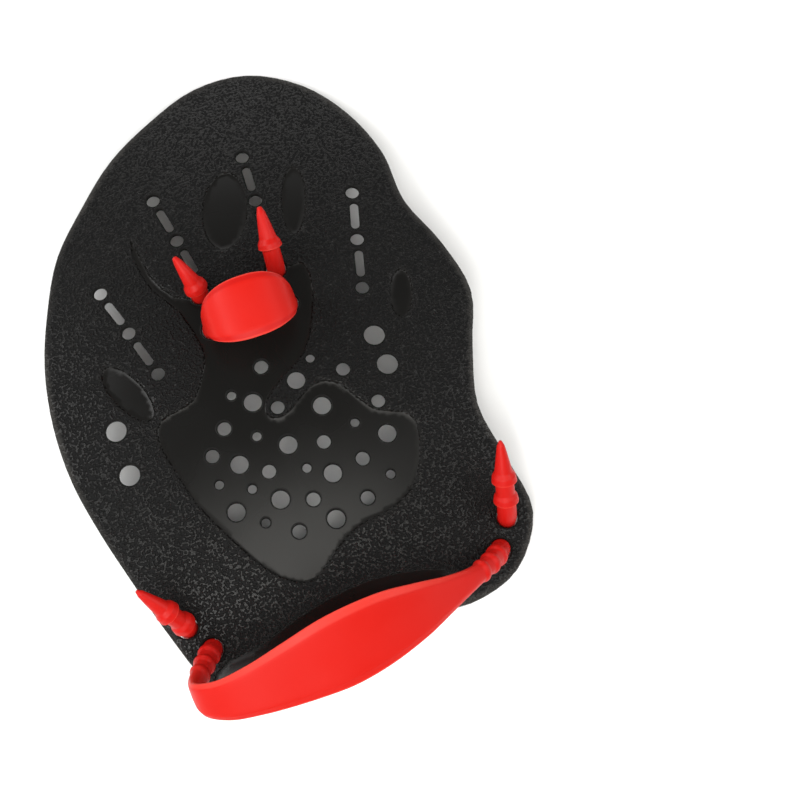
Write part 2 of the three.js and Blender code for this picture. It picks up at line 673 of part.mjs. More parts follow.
// A whole strap: left tail, left bridge, band, right bridge and right tail in one skin.
function buildStrap(strap) {
  const left = tailRings(strap, -1);
  const right = tailRings(strap, 1);
  const rings = [
    ...backwards(left.rings),
    ...bridgeRings(strap, -1),
    ...bandRings(strap),
    ...backwards(bridgeRings(strap, 1)),
    ...right.rings,
  ];
  return loft(rings, left.tip, right.tip);
}

// One named piece of the paddle.
function piece(name, solid, material) {
  const mesh = new THREE.Mesh(toGeometry(solid), material);
  mesh.name = name;
  return mesh;
}

const paddle = new THREE.Group();
paddle.add(piece('paddle_plate', buildPlate(), plateMaterial));
paddle.add(piece('finger_strap', buildStrap(fingerStrap), strapMaterial));
paddle.add(piece('wrist_strap', buildStrap(wristStrap), strapMaterial));

// The origin goes under the middle of the whole paddle, level with what the rim rests on.
const box = new THREE.Box3().setFromObject(paddle, true);
const middle = box.getCenter(new THREE.Vector3());
paddle.position.set(-middle.x, -middle.y, -box.min.z);

export default paddle;
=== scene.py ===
"""Swim hand paddle for the left hand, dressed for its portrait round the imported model.

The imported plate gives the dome, the outline, every hole and the edges of the hand's prints, and
the plate's fine skin is made again from them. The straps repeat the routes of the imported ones.
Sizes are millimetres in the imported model's frame, +X to the thumb, +Y to the fingertips, +Z up;
meshes are in metres.
"""
import logging
import math
from collections.abc import Sequence
from dataclasses import dataclass, field
from enum import Enum
from functools import cached_property
from typing import ClassVar

import bmesh
import bpy
import numpy as np
from mathutils import Matrix, Vector
from mathutils.geometry import delaunay_2d_cdt
from mathutils.kdtree import KDTree


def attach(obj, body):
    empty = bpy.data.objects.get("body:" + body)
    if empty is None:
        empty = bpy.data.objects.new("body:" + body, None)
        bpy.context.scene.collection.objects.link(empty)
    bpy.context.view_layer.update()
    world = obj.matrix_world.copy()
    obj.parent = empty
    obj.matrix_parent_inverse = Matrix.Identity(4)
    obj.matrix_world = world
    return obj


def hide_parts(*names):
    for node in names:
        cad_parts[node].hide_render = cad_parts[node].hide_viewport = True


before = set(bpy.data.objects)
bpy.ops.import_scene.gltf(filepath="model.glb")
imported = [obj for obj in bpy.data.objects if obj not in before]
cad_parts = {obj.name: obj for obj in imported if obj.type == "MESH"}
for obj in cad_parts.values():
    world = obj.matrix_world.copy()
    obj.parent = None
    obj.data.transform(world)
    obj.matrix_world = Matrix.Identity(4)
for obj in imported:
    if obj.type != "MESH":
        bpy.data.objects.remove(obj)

MM = 0.001
LOG = logging.getLogger("hand_paddle")
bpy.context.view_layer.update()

Color = tuple[float, float, float]
Range = tuple[float, float]

# Most of a noise's values lie in this part of its range.
NOISE_RANGE: Range = (0.3, 0.7)


class Socket:
    """A node's output that takes part in Python expressions, each of which adds its Math node."""

    def __init__(self, graph: "Graph", output: bpy.types.NodeSocket | None) -> None:
        """Keep the output, which a node that closes its tree lacks, and the graph."""
        self.graph = graph
        self.output = output

    def math(self, operation: str, *others: "Socket | float") -> "Socket":
        """Add a Math node.

        Args:
            operation: The Math node's operation.
            others: Its second and third inputs.

        Returns:
            The node's value.
        """
        values = dict(enumerate((self, *others)))
        return self.graph.node("ShaderNodeMath", {"operation": operation}, values)

    def __add__(self, other: "Socket | float") -> "Socket":
        """Return self + other."""
        return self.math("ADD", other)

    def __sub__(self, other: "Socket | float") -> "Socket":
        """Return self - other."""
        return self.math("SUBTRACT", other)

    def __rsub__(self, other: float) -> "Socket":
        """Return other - self."""
        return self.math("MULTIPLY_ADD", -1.0, other)

    def __mul__(self, other: "Socket | float") -> "Socket":
        """Return self * other."""
        return self.math("MULTIPLY", other)

    __radd__ = __add__
    __rmul__ = __mul__

    def ramp(self, low: float, high: float, start: float = 0.0, end: float = 1.0) -> "Socket":
        """Map low..high smoothly to start..end.

        Args:
            low: The value that gives start.
            high: The value that gives end.
            start: The result at and below low.
            end: The result at and above high.

        Returns:
            The mapped value.
        """
        settings = {"interpolation_type": "SMOOTHSTEP"}
        values = {"Value": self, "From Min": low, "From Max": high, "To Min": start, "To Max": end}
        return self.graph.node("ShaderNodeMapRange", settings, values)


class Graph:
    """A node tree that is filled from Python."""

    def __init__(self, tree: bpy.types.NodeTree) -> None:
        """Empty the tree and keep it."""
        self.tree = tree
        tree.nodes.clear()

    def node(
        self,
        kind: str,
        settings: dict[str, object] | None = None,
        values: dict[str | int, object] | None = None,
        output: str | int = 0,
    ) -> Socket:
        """Add a node.

        Args:
            kind: The node's Blender type.
            settings: Its properties, which are set first.
            values: Numbers, vectors, colours or sockets for its inputs, by name or place.
            output: Which of its outputs to return.

        Returns:
            The chosen output, which is empty for a node that closes the tree.
        """
        made = self.tree.nodes.new(kind)
        for name, value in (settings or {}).items():
            setattr(made, name, value)
        for name, value in (values or {}).items():
            if isinstance(value, Socket):
                self.tree.links.new(value.output, made.inputs[name])
            else:
                made.inputs[name].default_value = value
        return Socket(self, made.outputs[output] if made.outputs else None)


class ShaderGraph(Graph):
    """A material's nodes."""

    # Places of the Mix node's sockets for colours, whose names its other sockets share.
    MIX_FACTOR = 0
    MIX_LOW = 6
    MIX_HIGH = 7
    MIX_RESULT = 2

    def __init__(self, name: str) -> None:
        """Make a material with an empty tree.

        Args:
            name: The material's name.
        """
        self.material = bpy.data.materials.new(name)
        self.material.use_nodes = True
        super().__init__(self.material.node_tree)

    @cached_property
    def place(self) -> Socket:
        """Object coordinates, in metres."""
        return self.node("ShaderNodeTexCoord", output="Object")

    def attribute(self, name: str) -> Socket:
        """Return a point attribute's number."""
        return self.node("ShaderNodeAttribute", {"attribute_name": name}, output="Fac")

    def noise(self, size: float, detail: float = 2.0) -> Socket:
        """Return noise from 0 to 1 whose features are about size millimetres wide."""
        values = {"Vector": self.place, "Scale": 1.0 / (size * MM), "Detail": detail}
        return self.node("ShaderNodeTexNoise", {"noise_dimensions": "3D"}, values)

    def mix(self, factor: Socket, low: Color | Socket, high: Color | Socket) -> Socket:
        """Mix two colours.

        Args:
            factor: The second one's share, from 0 to 1.
            low: The first one.
            high: The second one.

        Returns:
            The mixed colour.
        """
        colors = [c if isinstance(c, Socket) else (*c, 1.0) for c in (low, high)]
        values = {self.MIX_FACTOR: factor, self.MIX_LOW: colors[0], self.MIX_HIGH: colors[1]}
        return self.node("ShaderNodeMix", {"data_type": "RGBA"}, values, self.MIX_RESULT)

    def surface(self, values: dict[str, object]) -> bpy.types.Material:
        """Close the tree with a Principled shader.

        Args:
            values: The shader's inputs.

        Returns:
            The finished material.
        """
        shader = self.node("ShaderNodeBsdfPrincipled", None, values, output="BSDF")
        self.node("ShaderNodeOutputMaterial", None, {"Surface": shader})
        return self.material


@dataclass(frozen=True)
class GrainedPlastic:
    """Black moulded plastic, grained like leather and smooth in the hand's prints.

    The grain's ridges are glossy and its creases dull, and the creases are painted darker as painted
    shade. A faint cloud varies the gloss and how far the edges are lightened, partly as wear and
    partly as a painted highlight along the rim and the prints' edges. Sizes and depths are
    millimetres.
    """

    grained: Color = (0.0065, 0.0063, 0.006)
    smooth: Color = (0.004, 0.0038, 0.0034)
    # Pale colour that the rim and the prints' edges are lightened towards: partly wear, partly painted
    # highlight.
    worn_and_highlight: Color = (0.04, 0.038, 0.035)
    # Near black painted into the grain's creases: painted shade.
    painted_crease_shade: Color = (0.0004, 0.0004, 0.0004)
    grain_size: float = 0.95
    grain_depth: float = 0.6
    ridges: Range = (0.38, 0.62)
    fine_grain_size: float = 0.4
    fine_grain_share: float = 0.2
    cloud_size: float = 34.0
    # How far the cloud lets the edges lighten: partly wear, partly painted highlight.
    wear_and_highlight: Range = (0.3, 0.9)
    grained_roughness: float = 0.17
    smooth_roughness: float = 0.27
    wall_roughness: float = 0.55
    crease_roughness: float = 0.5
    cloud_roughness: float = 0.03
    gloss: float = 0.17

    def material(self) -> bpy.types.Material:
        """Make the plate's material.

        Returns:
            The material, which reads the plate's attributes grain, edge and pierced.
        """
        graph = ShaderGraph("grained_plastic")
        grain = graph.attribute("grain")
        edge = graph.attribute("edge")
        pierced = graph.attribute("pierced")
        raised = graph.noise(self.grain_size, detail=0.0).ramp(*self.ridges)
        leather = raised + graph.noise(self.fine_grain_size) * self.fine_grain_share
        height = leather * (grain * (self.grain_depth * MM))
        bumps = {"Strength": 1.0, "Distance": 1.0, "Height": height}
        cloud = graph.noise(self.cloud_size)
        # The grain's creases are painted darker: painted shade.
        pebbled = graph.mix(raised, self.painted_crease_shade, self.grained)
        body = graph.mix(grain, self.smooth, pebbled)
        skin = grain * (self.grained_roughness - self.smooth_roughness) + self.smooth_roughness
        creases = (1.0 - raised) * grain * self.crease_roughness
        mottle = cloud.ramp(*NOISE_RANGE, -self.cloud_roughness, self.cloud_roughness)
        # The edges' lightening in the base colour is partly wear and partly painted highlight.
        return graph.surface(
            {
                "Base Color": graph.mix(edge * cloud.ramp(*NOISE_RANGE, *self.wear_and_highlight), body, self.worn_and_highlight),
                "Roughness": skin + creases + pierced * self.wall_roughness + mottle,
                "Normal": graph.node("ShaderNodeBump", None, bumps, "Normal"),
                "Specular IOR Level": self.gloss,
            }
        )


@dataclass(frozen=True)
class SoftSilicone:
    """Red silicone rubber with a satin skin, lighter along painted highlights: the band's edge line,
    one side of the wrist band and the collars' lips.

    Round cords take a share of the deeper tone, and a band's bevels take it as painted shade.
    Sizes and depths are millimetres, and the light's reach under the skin is metres.
    """

    body: Color = (0.47, 0.0085, 0.0045)
    # Lighter red of the painted highlights.
    painted_highlight: Color = (0.62, 0.05, 0.034)
    # Darker red of the cords, also painted on the band's bevel as painted shade.
    deep: Color = (0.4, 0.005, 0.0035)
    painted_highlight_share: float = 0.75
    cord_clouds: Range = (0.2, 0.8)
    cord_share: Range = (0.55, 0.85)
    skin_size: float = 0.6
    skin_detail: float = 3.0
    skin_depth: float = 0.012
    cloud_size: float = 12.0
    cloud_depth: float = 0.12
    roughness: Range = (0.39, 0.47)
    gloss: float = 0.14
    glow: float = 0.12
    glow_reach: Color = (0.004, 0.0012, 0.0008)
    glow_scale: float = 0.4

    def material(self) -> bpy.types.Material:
        """Make the straps' material.

        Returns:
            The material, which reads the straps' attributes for the painted highlight, the margin's
            painted shade and the cords.
        """
        graph = ShaderGraph("red_silicone")
        # Mask of the painted highlight: the band's edge line, one side of the wrist band and the collars'
        # lips.
        painted_highlight = graph.attribute("painted_highlight")
        # The margin attribute paints shade on the band's bevel.
        margin = graph.attribute("margin")
        cord = graph.attribute("cord")
        cloud = graph.noise(self.cloud_size)
        round_share = cord * cloud.ramp(*self.cord_clouds, *self.cord_share)
        base = graph.mix(round_share, self.body, self.deep)
        beveled = graph.mix(margin, base, self.deep)
        skin = graph.noise(self.skin_size, self.skin_detail) * (self.skin_depth * MM)
        bumps = {"Distance": 1.0, "Height": skin + cloud * (self.cloud_depth * MM)}
        return graph.surface(
            {
                "Base Color": graph.mix(painted_highlight * self.painted_highlight_share, beveled, self.painted_highlight),
                "Roughness": cloud.ramp(*NOISE_RANGE, *self.roughness),
                "Normal": graph.node("ShaderNodeBump", None, bumps, "Normal"),
                "Subsurface Weight": self.glow,
                "Subsurface Radius": self.glow_reach,
                "Subsurface Scale": self.glow_scale,
                "Specular IOR Level": self.gloss,
            }
        )


@dataclass(frozen=True)
class PaleFloor:
    """Plain pale studio floor, a little uneven in tone."""

    color: Color = (0.9, 0.9, 0.895)
    shade: float = 0.985
    cloud_size: float = 400.0
    roughness: float = 0.8

    def material(self) -> bpy.types.Material:
        """Make the floor's material.

        Returns:
            The material.
        """
        graph = ShaderGraph("pale_floor")
        tone = graph.noise(self.cloud_size).ramp(*NOISE_RANGE, self.shade, 1.0)
        shaded = tuple(channel * self.shade for channel in self.color)
        color = graph.mix(tone, shaded, self.color)
        return graph.surface({"Base Color": color, "Roughness": self.roughness})


@dataclass(frozen=True)
class Dome:
    """The hand side's height over a place, in millimetres."""

    crest: tuple[float, float]
    crest_height: float
    radius_across: float
    radius_along: float
    flattening: float

    def height(self, xy: np.ndarray) -> np.ndarray:
        """Find the hand side's height.

        Args:
            xy: One place, or rows of x and y.

        Returns:
            The height at each.
        """
        dx = xy[..., 0] - self.crest[0]
        dy = xy[..., 1] - self.crest[1]
        drop = dx**2 / (2 * self.radius_across) + dy**2 / (2 * self.radius_along)
        return self.crest_height - (drop**4 + self.flattening**4) ** 0.25


# The fewest points in half a hole's circle, in a loop of edges that counts and in a smooth curve.
FEWEST_ARC_POINTS = 8
FEWEST_LOOP_POINTS = 6
FEWEST_CURVE_POINTS = 12
# Divisions of a smooth closed curve between two of the points that it is laid through.
CURVE_STEPS = 8


@dataclass(frozen=True)
class Hole:
    """A hole through the plate: a circle, or a slot along a direction when reach is not 0."""

    centre: tuple[float, float]
    radius: float
    direction: tuple[float, float] = (0.0, 1.0)
    reach: float = 0.0

    def to_axis(self, xy: np.ndarray) -> np.ndarray:
        """Find the ways from places to the hole's centre, or to a slot's middle line.

        Args:
            xy: Rows of x and y.

        Returns:
            A vector for each row.
        """
        line = np.array(self.direction)
        away = xy - np.array(self.centre)
        along = np.clip(away @ line, -self.reach, self.reach)
        return along[..., None] * line - away

    def loop(self, margin: float, step: float) -> np.ndarray:
        """Lay points round the hole.

        Args:
            margin: How far outside its wall they lie.
            step: Their distance from each other.

        Returns:
            Rows of x and y.
        """
        radius = self.radius + margin
        line = np.array(self.direction)
        side = np.array([line[1], -line[0]])
        half = max(FEWEST_ARC_POINTS, round(math.pi * radius / step))
        straight = max(1, round(2 * self.reach / step)) if self.reach else 0
        points = []
        for end in (1.0, -1.0):
            for i in range(half):
                angle = math.pi * i / half
                turned = math.cos(angle) * side * end + math.sin(angle) * line * end
                points.append(np.array(self.centre) + end * self.reach * line + radius * turned)
            for i in range(straight):
                run = self.reach - 2 * self.reach * i / straight
                points.append(np.array(self.centre) - radius * side * end + end * run * line)
        return np.array(points)


def chain_loops(edges: Sequence[tuple[int, int]]) -> list[list[int]]:
    """Join edges end to end.

    Args:
        edges: Pairs of vertex numbers, in any order and direction.

    Returns:
        Closed loops of vertex numbers.
    """
    neighbours: dict[int, list[int]] = {}
    for a, b in edges:
        neighbours.setdefault(a, []).append(b)
        neighbours.setdefault(b, []).append(a)
    left = set(neighbours)
    loops = []
    while left:
        start = min(left)
        loop = [start]
        left.discard(start)
        while True:
            onward = [n for n in neighbours[loop[-1]] if n in left]
            if not onward:
                break
            loop.append(onward[0])
            left.discard(onward[0])
        if len(loop) >= FEWEST_LOOP_POINTS:
            loops.append(loop)
    return loops


def catmull_rom(
    before: np.ndarray | float,
    here: np.ndarray | float,
    after: np.ndarray | float,
    later: np.ndarray | float,
    share: float,
) -> np.ndarray | float:
    """Read a uniform Catmull-Rom curve between the middle two of four neighbours.

    Args:
        before: The first neighbour, a number or rows of places.
        here: The second.
        after: The third.
        later: The fourth.
        share: How far from the second to the third.

    Returns:
        The number or the places there.
    """
    return 0.5 * (
        2 * here
        + (after - before) * share
        + (2 * before - 5 * here + 4 * after - later) * share**2
        + (3 * here - before - 3 * after + later) * share**3
    )


def travelled(line: np.ndarray) -> np.ndarray:
    """Return how far along a line of points each of them lies."""
    return np.concatenate([[0], np.cumsum(np.linalg.norm(np.diff(line, axis=0), axis=1))])


def smooth_closed(points: np.ndarray, step: float) -> np.ndarray:
    """Lay a smooth closed curve through points and divide it evenly.

    Args:
        points: Rows of x and y.
        step: Distance between the new points.

    Returns:
        The new rows.
    """
    before, after, later = (np.roll(points, shift, 0) for shift in (1, -1, -2))
    shares = [k / CURVE_STEPS for k in range(CURVE_STEPS)]
    dense = [catmull_rom(before, points, after, later, share) for share in shares]
    curve = np.stack(dense, 1).reshape(-1, 2)
    closed = np.vstack([curve, curve[:1]])
    lengths = travelled(closed)
    count = max(FEWEST_CURVE_POINTS, round(lengths[-1] / step))
    stops = np.linspace(0, lengths[-1], count, endpoint=False)
    return np.stack([np.interp(stops, lengths, closed[:, i]) for i in (0, 1)], 1)


def without_doubles(points: np.ndarray, closest: float = 0.8) -> np.ndarray:
    """Drop a closed loop's points that lie nearly on the one before, where a curve would curl."""
    gaps = np.linalg.norm(points - np.roll(points, 1, 0), axis=1)
    return points[gaps > closest]


def signed_area(points: np.ndarray) -> float:
    """Return a closed loop's area, positive when it runs anticlockwise."""
    after = np.roll(points, -1, 0)
    return 0.5 * float(np.sum(points[:, 0] * after[:, 1] - after[:, 0] * points[:, 1]))


def outward_normals(loop: np.ndarray) -> np.ndarray:
    """Find the ways out of a closed loop.

    Args:
        loop: Rows of x and y, anticlockwise.

    Returns:
        A unit vector for each row.
    """
    tangent = np.roll(loop, -1, 0) - np.roll(loop, 1, 0)
    tangent /= np.linalg.norm(tangent, axis=1)[:, None]
    return np.stack([tangent[:, 1], -tangent[:, 0]], 1)


def inside_loop(points: np.ndarray, loop: np.ndarray) -> np.ndarray:
    """Say which points lie inside a closed loop.

    Args:
        points: Rows of x and y.
        loop: The loop's rows.

    Returns:
        Whether each point does.
    """
    after = np.roll(loop, -1, 0)
    inside = np.zeros(len(points), bool)
    for (x0, y0), (x1, y1) in zip(loop, after, strict=True):
        if y0 == y1:
            continue
        crosses = (y0 > points[:, 1]) != (y1 > points[:, 1])
        inside ^= crosses & (points[:, 0] < x0 + (points[:, 1] - y0) * (x1 - x0) / (y1 - y0))
    return inside


def point_tree(points: np.ndarray) -> KDTree:
    """Index points in the plane.

    Args:
        points: Rows of x and y.

    Returns:
        A tree that finds the nearest of them.
    """
    tree = KDTree(len(points))
    for i, (x, y) in enumerate(points):
        tree.insert((x, y, 0.0), i)
    tree.balance()
    return tree


class Border:
    """A closed line on the plate that can tell how far a place lies from it."""

    # Nearer than this, in millimetres, the distance is measured square to the line.
    SQUARE_REACH = 2.0

    def __init__(self, loop: np.ndarray) -> None:
        """Turn the loop anticlockwise and index its points.

        Args:
            loop: Rows of x and y.
        """
        self.loop = loop if signed_area(loop) > 0 else loop[::-1]
        self.normals = outward_normals(self.loop)
        self.tree = point_tree(self.loop)

    def nearest(self, points: np.ndarray) -> tuple[np.ndarray, np.ndarray]:
        """Find the loop's nearest points.

        Args:
            points: Rows of x and y.

        Returns:
            The signed distance outwards and the loop's outward normal, for each row.
        """
        found = np.array([self.tree.find((x, y, 0.0))[1] for x, y in points])
        normals = self.normals[found]
        away = points - self.loop[found]
        distance = np.linalg.norm(away, axis=1)
        near = np.einsum("ij,ij->i", away, normals)
        sign = np.where(inside_loop(points, self.loop), -1.0, 1.0)
        return np.where(distance < self.SQUARE_REACH, near, sign * distance), normals


@dataclass
class PackedPlate:
    """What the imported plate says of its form: the dome, the outline, the holes and the prints.

    Lengths are millimetres. A face belongs to one of the plate's two sides where the upright part
    of its normal is over `level`. A hole is round where it fills `round_share` of the circle about
    it. The dome is fitted to what lies below the level crown.
    """

    node: str = "paddle_plate"
    thickness: float = 2.8
    print_depth: float = 0.5
    slot_width: float = 3.3
    slot_length: float = 11.4
    weld: float = 0.001
    level: float = 0.7
    outline_step: float = 0.8
    print_step: float = 0.5
    fewest_print_points: int = 9
    crown_margin: float = 0.02
    round_share: float = 0.7
    wall_margin: float = 0.3
    points: np.ndarray = field(init=False)
    dome: Dome = field(init=False)
    outline: Border = field(init=False)
    holes: list[Hole] = field(init=False)
    prints: list[Border] = field(init=False)

    def __post_init__(self) -> None:
        """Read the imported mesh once."""
        mesh = bmesh.new()
        mesh.from_mesh(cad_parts[self.node].data)
        bmesh.ops.remove_doubles(mesh, verts=mesh.verts, dist=self.weld * MM)
        mesh.verts.ensure_lookup_table()
        self.points = np.array([v.co for v in mesh.verts]) / MM
        under = {f.index for f in mesh.faces if f.normal.z < -self.level}
        corners = {v.index for f in mesh.faces if f.index in under for v in f.verts}
        self.dome = self._fit_dome(corners)
        loops = [self.points[loop][:, :2] for loop in chain_loops(self._border(mesh, under))]
        loops.sort(key=lambda loop: -abs(signed_area(loop)))
        self.outline = Border(smooth_closed(loops[0], self.outline_step))
        self.holes = [self._hole(loop) for loop in loops[1:]]
        sunk = {f.index for f in mesh.faces if f.normal.z > self.level and self._is_sunk(f)}
        edges = chain_loops(self._border(mesh, sunk))
        kept = [self._clear_of_holes(self.points[loop][:, :2]) for loop in edges]
        clean = [without_doubles(loop) for loop in kept if len(loop) >= self.fewest_print_points]
        self.prints = [Border(smooth_closed(loop, self.print_step)) for loop in clean]
        mesh.free()

    @staticmethod
    def _border(mesh: bmesh.types.BMesh, chosen: set[int]) -> list[tuple[int, int]]:
        """Find the edges between chosen faces and the others.

        Args:
            mesh: The mesh.
            chosen: The faces' numbers.

        Returns:
            The two vertex numbers of each edge.
        """
        return [
            (e.verts[0].index, e.verts[1].index)
            for e in mesh.edges
            if len({f.index in chosen for f in e.link_faces}) == 2
        ]

    def _fit_dome(self, under: set[int]) -> Dome:
        """Fit the dome to the underside.

        Args:
            under: Numbers of the underside's vertices.

        Returns:
            The hand side's dome.
        """
        places = self.points[sorted(under)]
        top = places[:, 2].max()
        places = places[places[:, 2] < top - self.crown_margin]
        x, y, z = places.T
        terms = np.stack([np.ones_like(x), x, y, x * x, y * y], 1)
        c, cx, cy, cxx, cyy = np.linalg.lstsq(terms, z, rcond=None)[0]
        crest = (-cx / (2 * cxx), -cy / (2 * cyy))
        height = c - cx**2 / (4 * cxx) - cy**2 / (4 * cyy)
        return Dome(
            crest=crest,
            crest_height=height + self.thickness,
            radius_across=-1 / (2 * cxx),
            radius_along=-1 / (2 * cyy),
            flattening=height - top,
        )

    def _hole(self, loop: np.ndarray) -> Hole:
        """Recognise a hole.

        Args:
            loop: The corners of its edge.

        Returns:
            The round hole or the slot.
        """
        low, high = loop.min(0), loop.max(0)
        centre = (low + high) / 2
        radius = float(np.linalg.norm(loop - centre, axis=1).max())
        if abs(signed_area(loop)) > self.round_share * math.pi * radius**2:
            return Hole((centre[0], centre[1]), radius)
        line = np.linalg.eigh(np.cov((loop - centre).T))[1][:, 1]
        reach = (self.slot_length - self.slot_width) / 2
        return Hole((centre[0], centre[1]), self.slot_width / 2, (line[0], line[1]), reach)

    def _is_sunk(self, face: bmesh.types.BMFace) -> bool:
        """Say whether a face of the hand side lies at the depth of the prints.

        Args:
            face: The face.

        Returns:
            Whether it lies from half to twice as deep as they do.
        """
        middle = np.array(face.calc_center_median()) / MM
        drop = float(self.dome.height(middle[:2])) - middle[2]
        return self.print_depth / 2 < drop < self.print_depth * 2

    def _clear_of_holes(self, loop: np.ndarray) -> np.ndarray:
        """Leave out a loop's points on the walls of holes.

        Args:
            loop: Rows of x and y.

        Returns:
            The rows that are left.
        """
        kept = np.ones(len(loop), bool)
        for hole in self.holes:
            kept &= np.linalg.norm(hole.to_axis(loop), axis=1) > hole.radius + self.wall_margin
        return loop[kept]

    def sunk_share(self, points: np.ndarray, edge: float) -> tuple[np.ndarray, np.ndarray]:
        """Say how far places lie down in a print.

        Args:
            points: Rows of x and y.
            edge: Half the width of a print's edge.

        Returns:
            The share of the print's depth, and how near each place is to a print's edge: 1 on
            it, and 0 from three times the half width on.
        """
        share = np.zeros(len(points))
        nearness = np.zeros(len(points))
        for border in self.prints:
            distance, _ = border.nearest(points)
            t = np.clip((edge - distance) / (2 * edge), 0, 1)
            share = np.maximum(share, t * t * (3 - 2 * t))
            nearness = np.maximum(nearness, np.clip(1 - np.abs(distance) / (3 * edge), 0, 1))
        return share, nearness


def plain_mesh(name: str, points: np.ndarray, faces: Sequence[Sequence[int]]) -> bpy.types.Object:
    """Make a mesh object.

    Args:
        name: The object's name.
        points: Rows of x, y and z in millimetres.
        faces: Vertex numbers of each face.

    Returns:
        The object, linked to the scene.
    """
    mesh = bpy.data.meshes.new(name)
    mesh.from_pydata((points * MM).tolist(), [], [list(face) for face in faces])
    made = bpy.data.objects.new(name, mesh)
    bpy.context.scene.collection.objects.link(made)
    return made


def store(made: bpy.types.Object, name: str, values: np.ndarray) -> None:
    """Store values on a mesh object's points.

    Args:
        made: The object.
        name: The attribute's name.
        values: A number or a vector for each point.
    """
    kind, key = ("FLOAT_VECTOR", "vector") if values.ndim == 2 else ("FLOAT", "value")
    layer = made.data.attributes.new(name, kind, "POINT")
    layer.data.foreach_set(key, values.astype(np.float32).ravel())


def apply_tree(
    made: bpy.types.Object, graph: "FormGraph", sizes: dict[str, float]
) -> bpy.types.Object:
    """Run a Geometry Nodes tree on an object and keep the result as its plain mesh.

    Args:
        made: The object.
        graph: The tree.
        sizes: Values for the tree's named inputs.

    Returns:
        The same object with the new mesh.
    """
    modifier = made.modifiers.new(graph.tree.name, "NODES")
    modifier.node_group = graph.tree
    for name, value in sizes.items():
        modifier[graph.identifiers[name]] = value
    made.update_tag()
    graphs = bpy.context.evaluated_depsgraph_get()
    mesh = bpy.data.meshes.new_from_object(
        made.evaluated_get(graphs), preserve_all_data_layers=True, depsgraph=graphs
    )
    made.modifiers.clear()
    old = made.data
    made.data = mesh
    mesh.name = made.name
    bpy.data.meshes.remove(old)
    return made


def turn_outwards(made: bpy.types.Object) -> None:
    """Make a closed mesh's faces point out, and shade them smooth.

    Args:
        made: The mesh's object.
    """
    mesh = bmesh.new()
    mesh.from_mesh(made.data)
    bmesh.ops.recalc_face_normals(mesh, faces=mesh.faces)
    mesh.to_mesh(made.data)
    mesh.free()
    made.data.shade_smooth()


class FormGraph(Graph):
    """A Geometry Nodes tree with named inputs for its sizes."""

    def __init__(self, name: str, sizes: Sequence[str]) -> None:
        """Make the tree with a geometry input, inputs for the sizes and a geometry output.

        Args:
            name: The tree's name.
            sizes: Names of the inputs for sizes.
        """
        super().__init__(bpy.data.node_groups.new(name, "GeometryNodeTree"))
        face = self.tree.interface
        face.new_socket("Geometry", in_out="INPUT", socket_type="NodeSocketGeometry")
        self.identifiers = {
            size: face.new_socket(size, in_out="INPUT", socket_type="NodeSocketFloat").identifier
            for size in sizes
        }
        face.new_socket("Geometry", in_out="OUTPUT", socket_type="NodeSocketGeometry")
        group = self.tree.nodes.new("NodeGroupInput")
        self.start = Socket(self, group.outputs["Geometry"])
        self.sizes = {size: Socket(self, group.outputs[size]) for size in sizes}

    def named(self, name: str, kind: str = "FLOAT") -> Socket:
        """Return a stored attribute."""
        settings = {"data_type": kind}
        return self.node("GeometryNodeInputNamedAttribute", settings, {"Name": name}, "Attribute")

    def vector(self, x: Socket | float, y: Socket | float, z: Socket | float) -> Socket:
        """Return a vector of three numbers."""
        return self.node("ShaderNodeCombineXYZ", None, {"X": x, "Y": y, "Z": z})

    def scaled(self, vector: Socket, factor: Socket | float) -> Socket:
        """Return a vector times a number."""
        values = {0: vector, "Scale": factor}
        return self.node("ShaderNodeVectorMath", {"operation": "SCALE"}, values)

    def finish(self, geometry: Socket, material: bpy.types.Material) -> None:
        """Close the tree.

        Args:
            geometry: The finished geometry.
            material: What it is made of.
        """
        real = self.node("GeometryNodeRealizeInstances", None, {"Geometry": geometry})
        dressed = self.node(
            "GeometryNodeSetMaterial", None, {"Geometry": real, "Material": material}
        )
        self.node("NodeGroupOutput", None, {"Geometry": dressed})


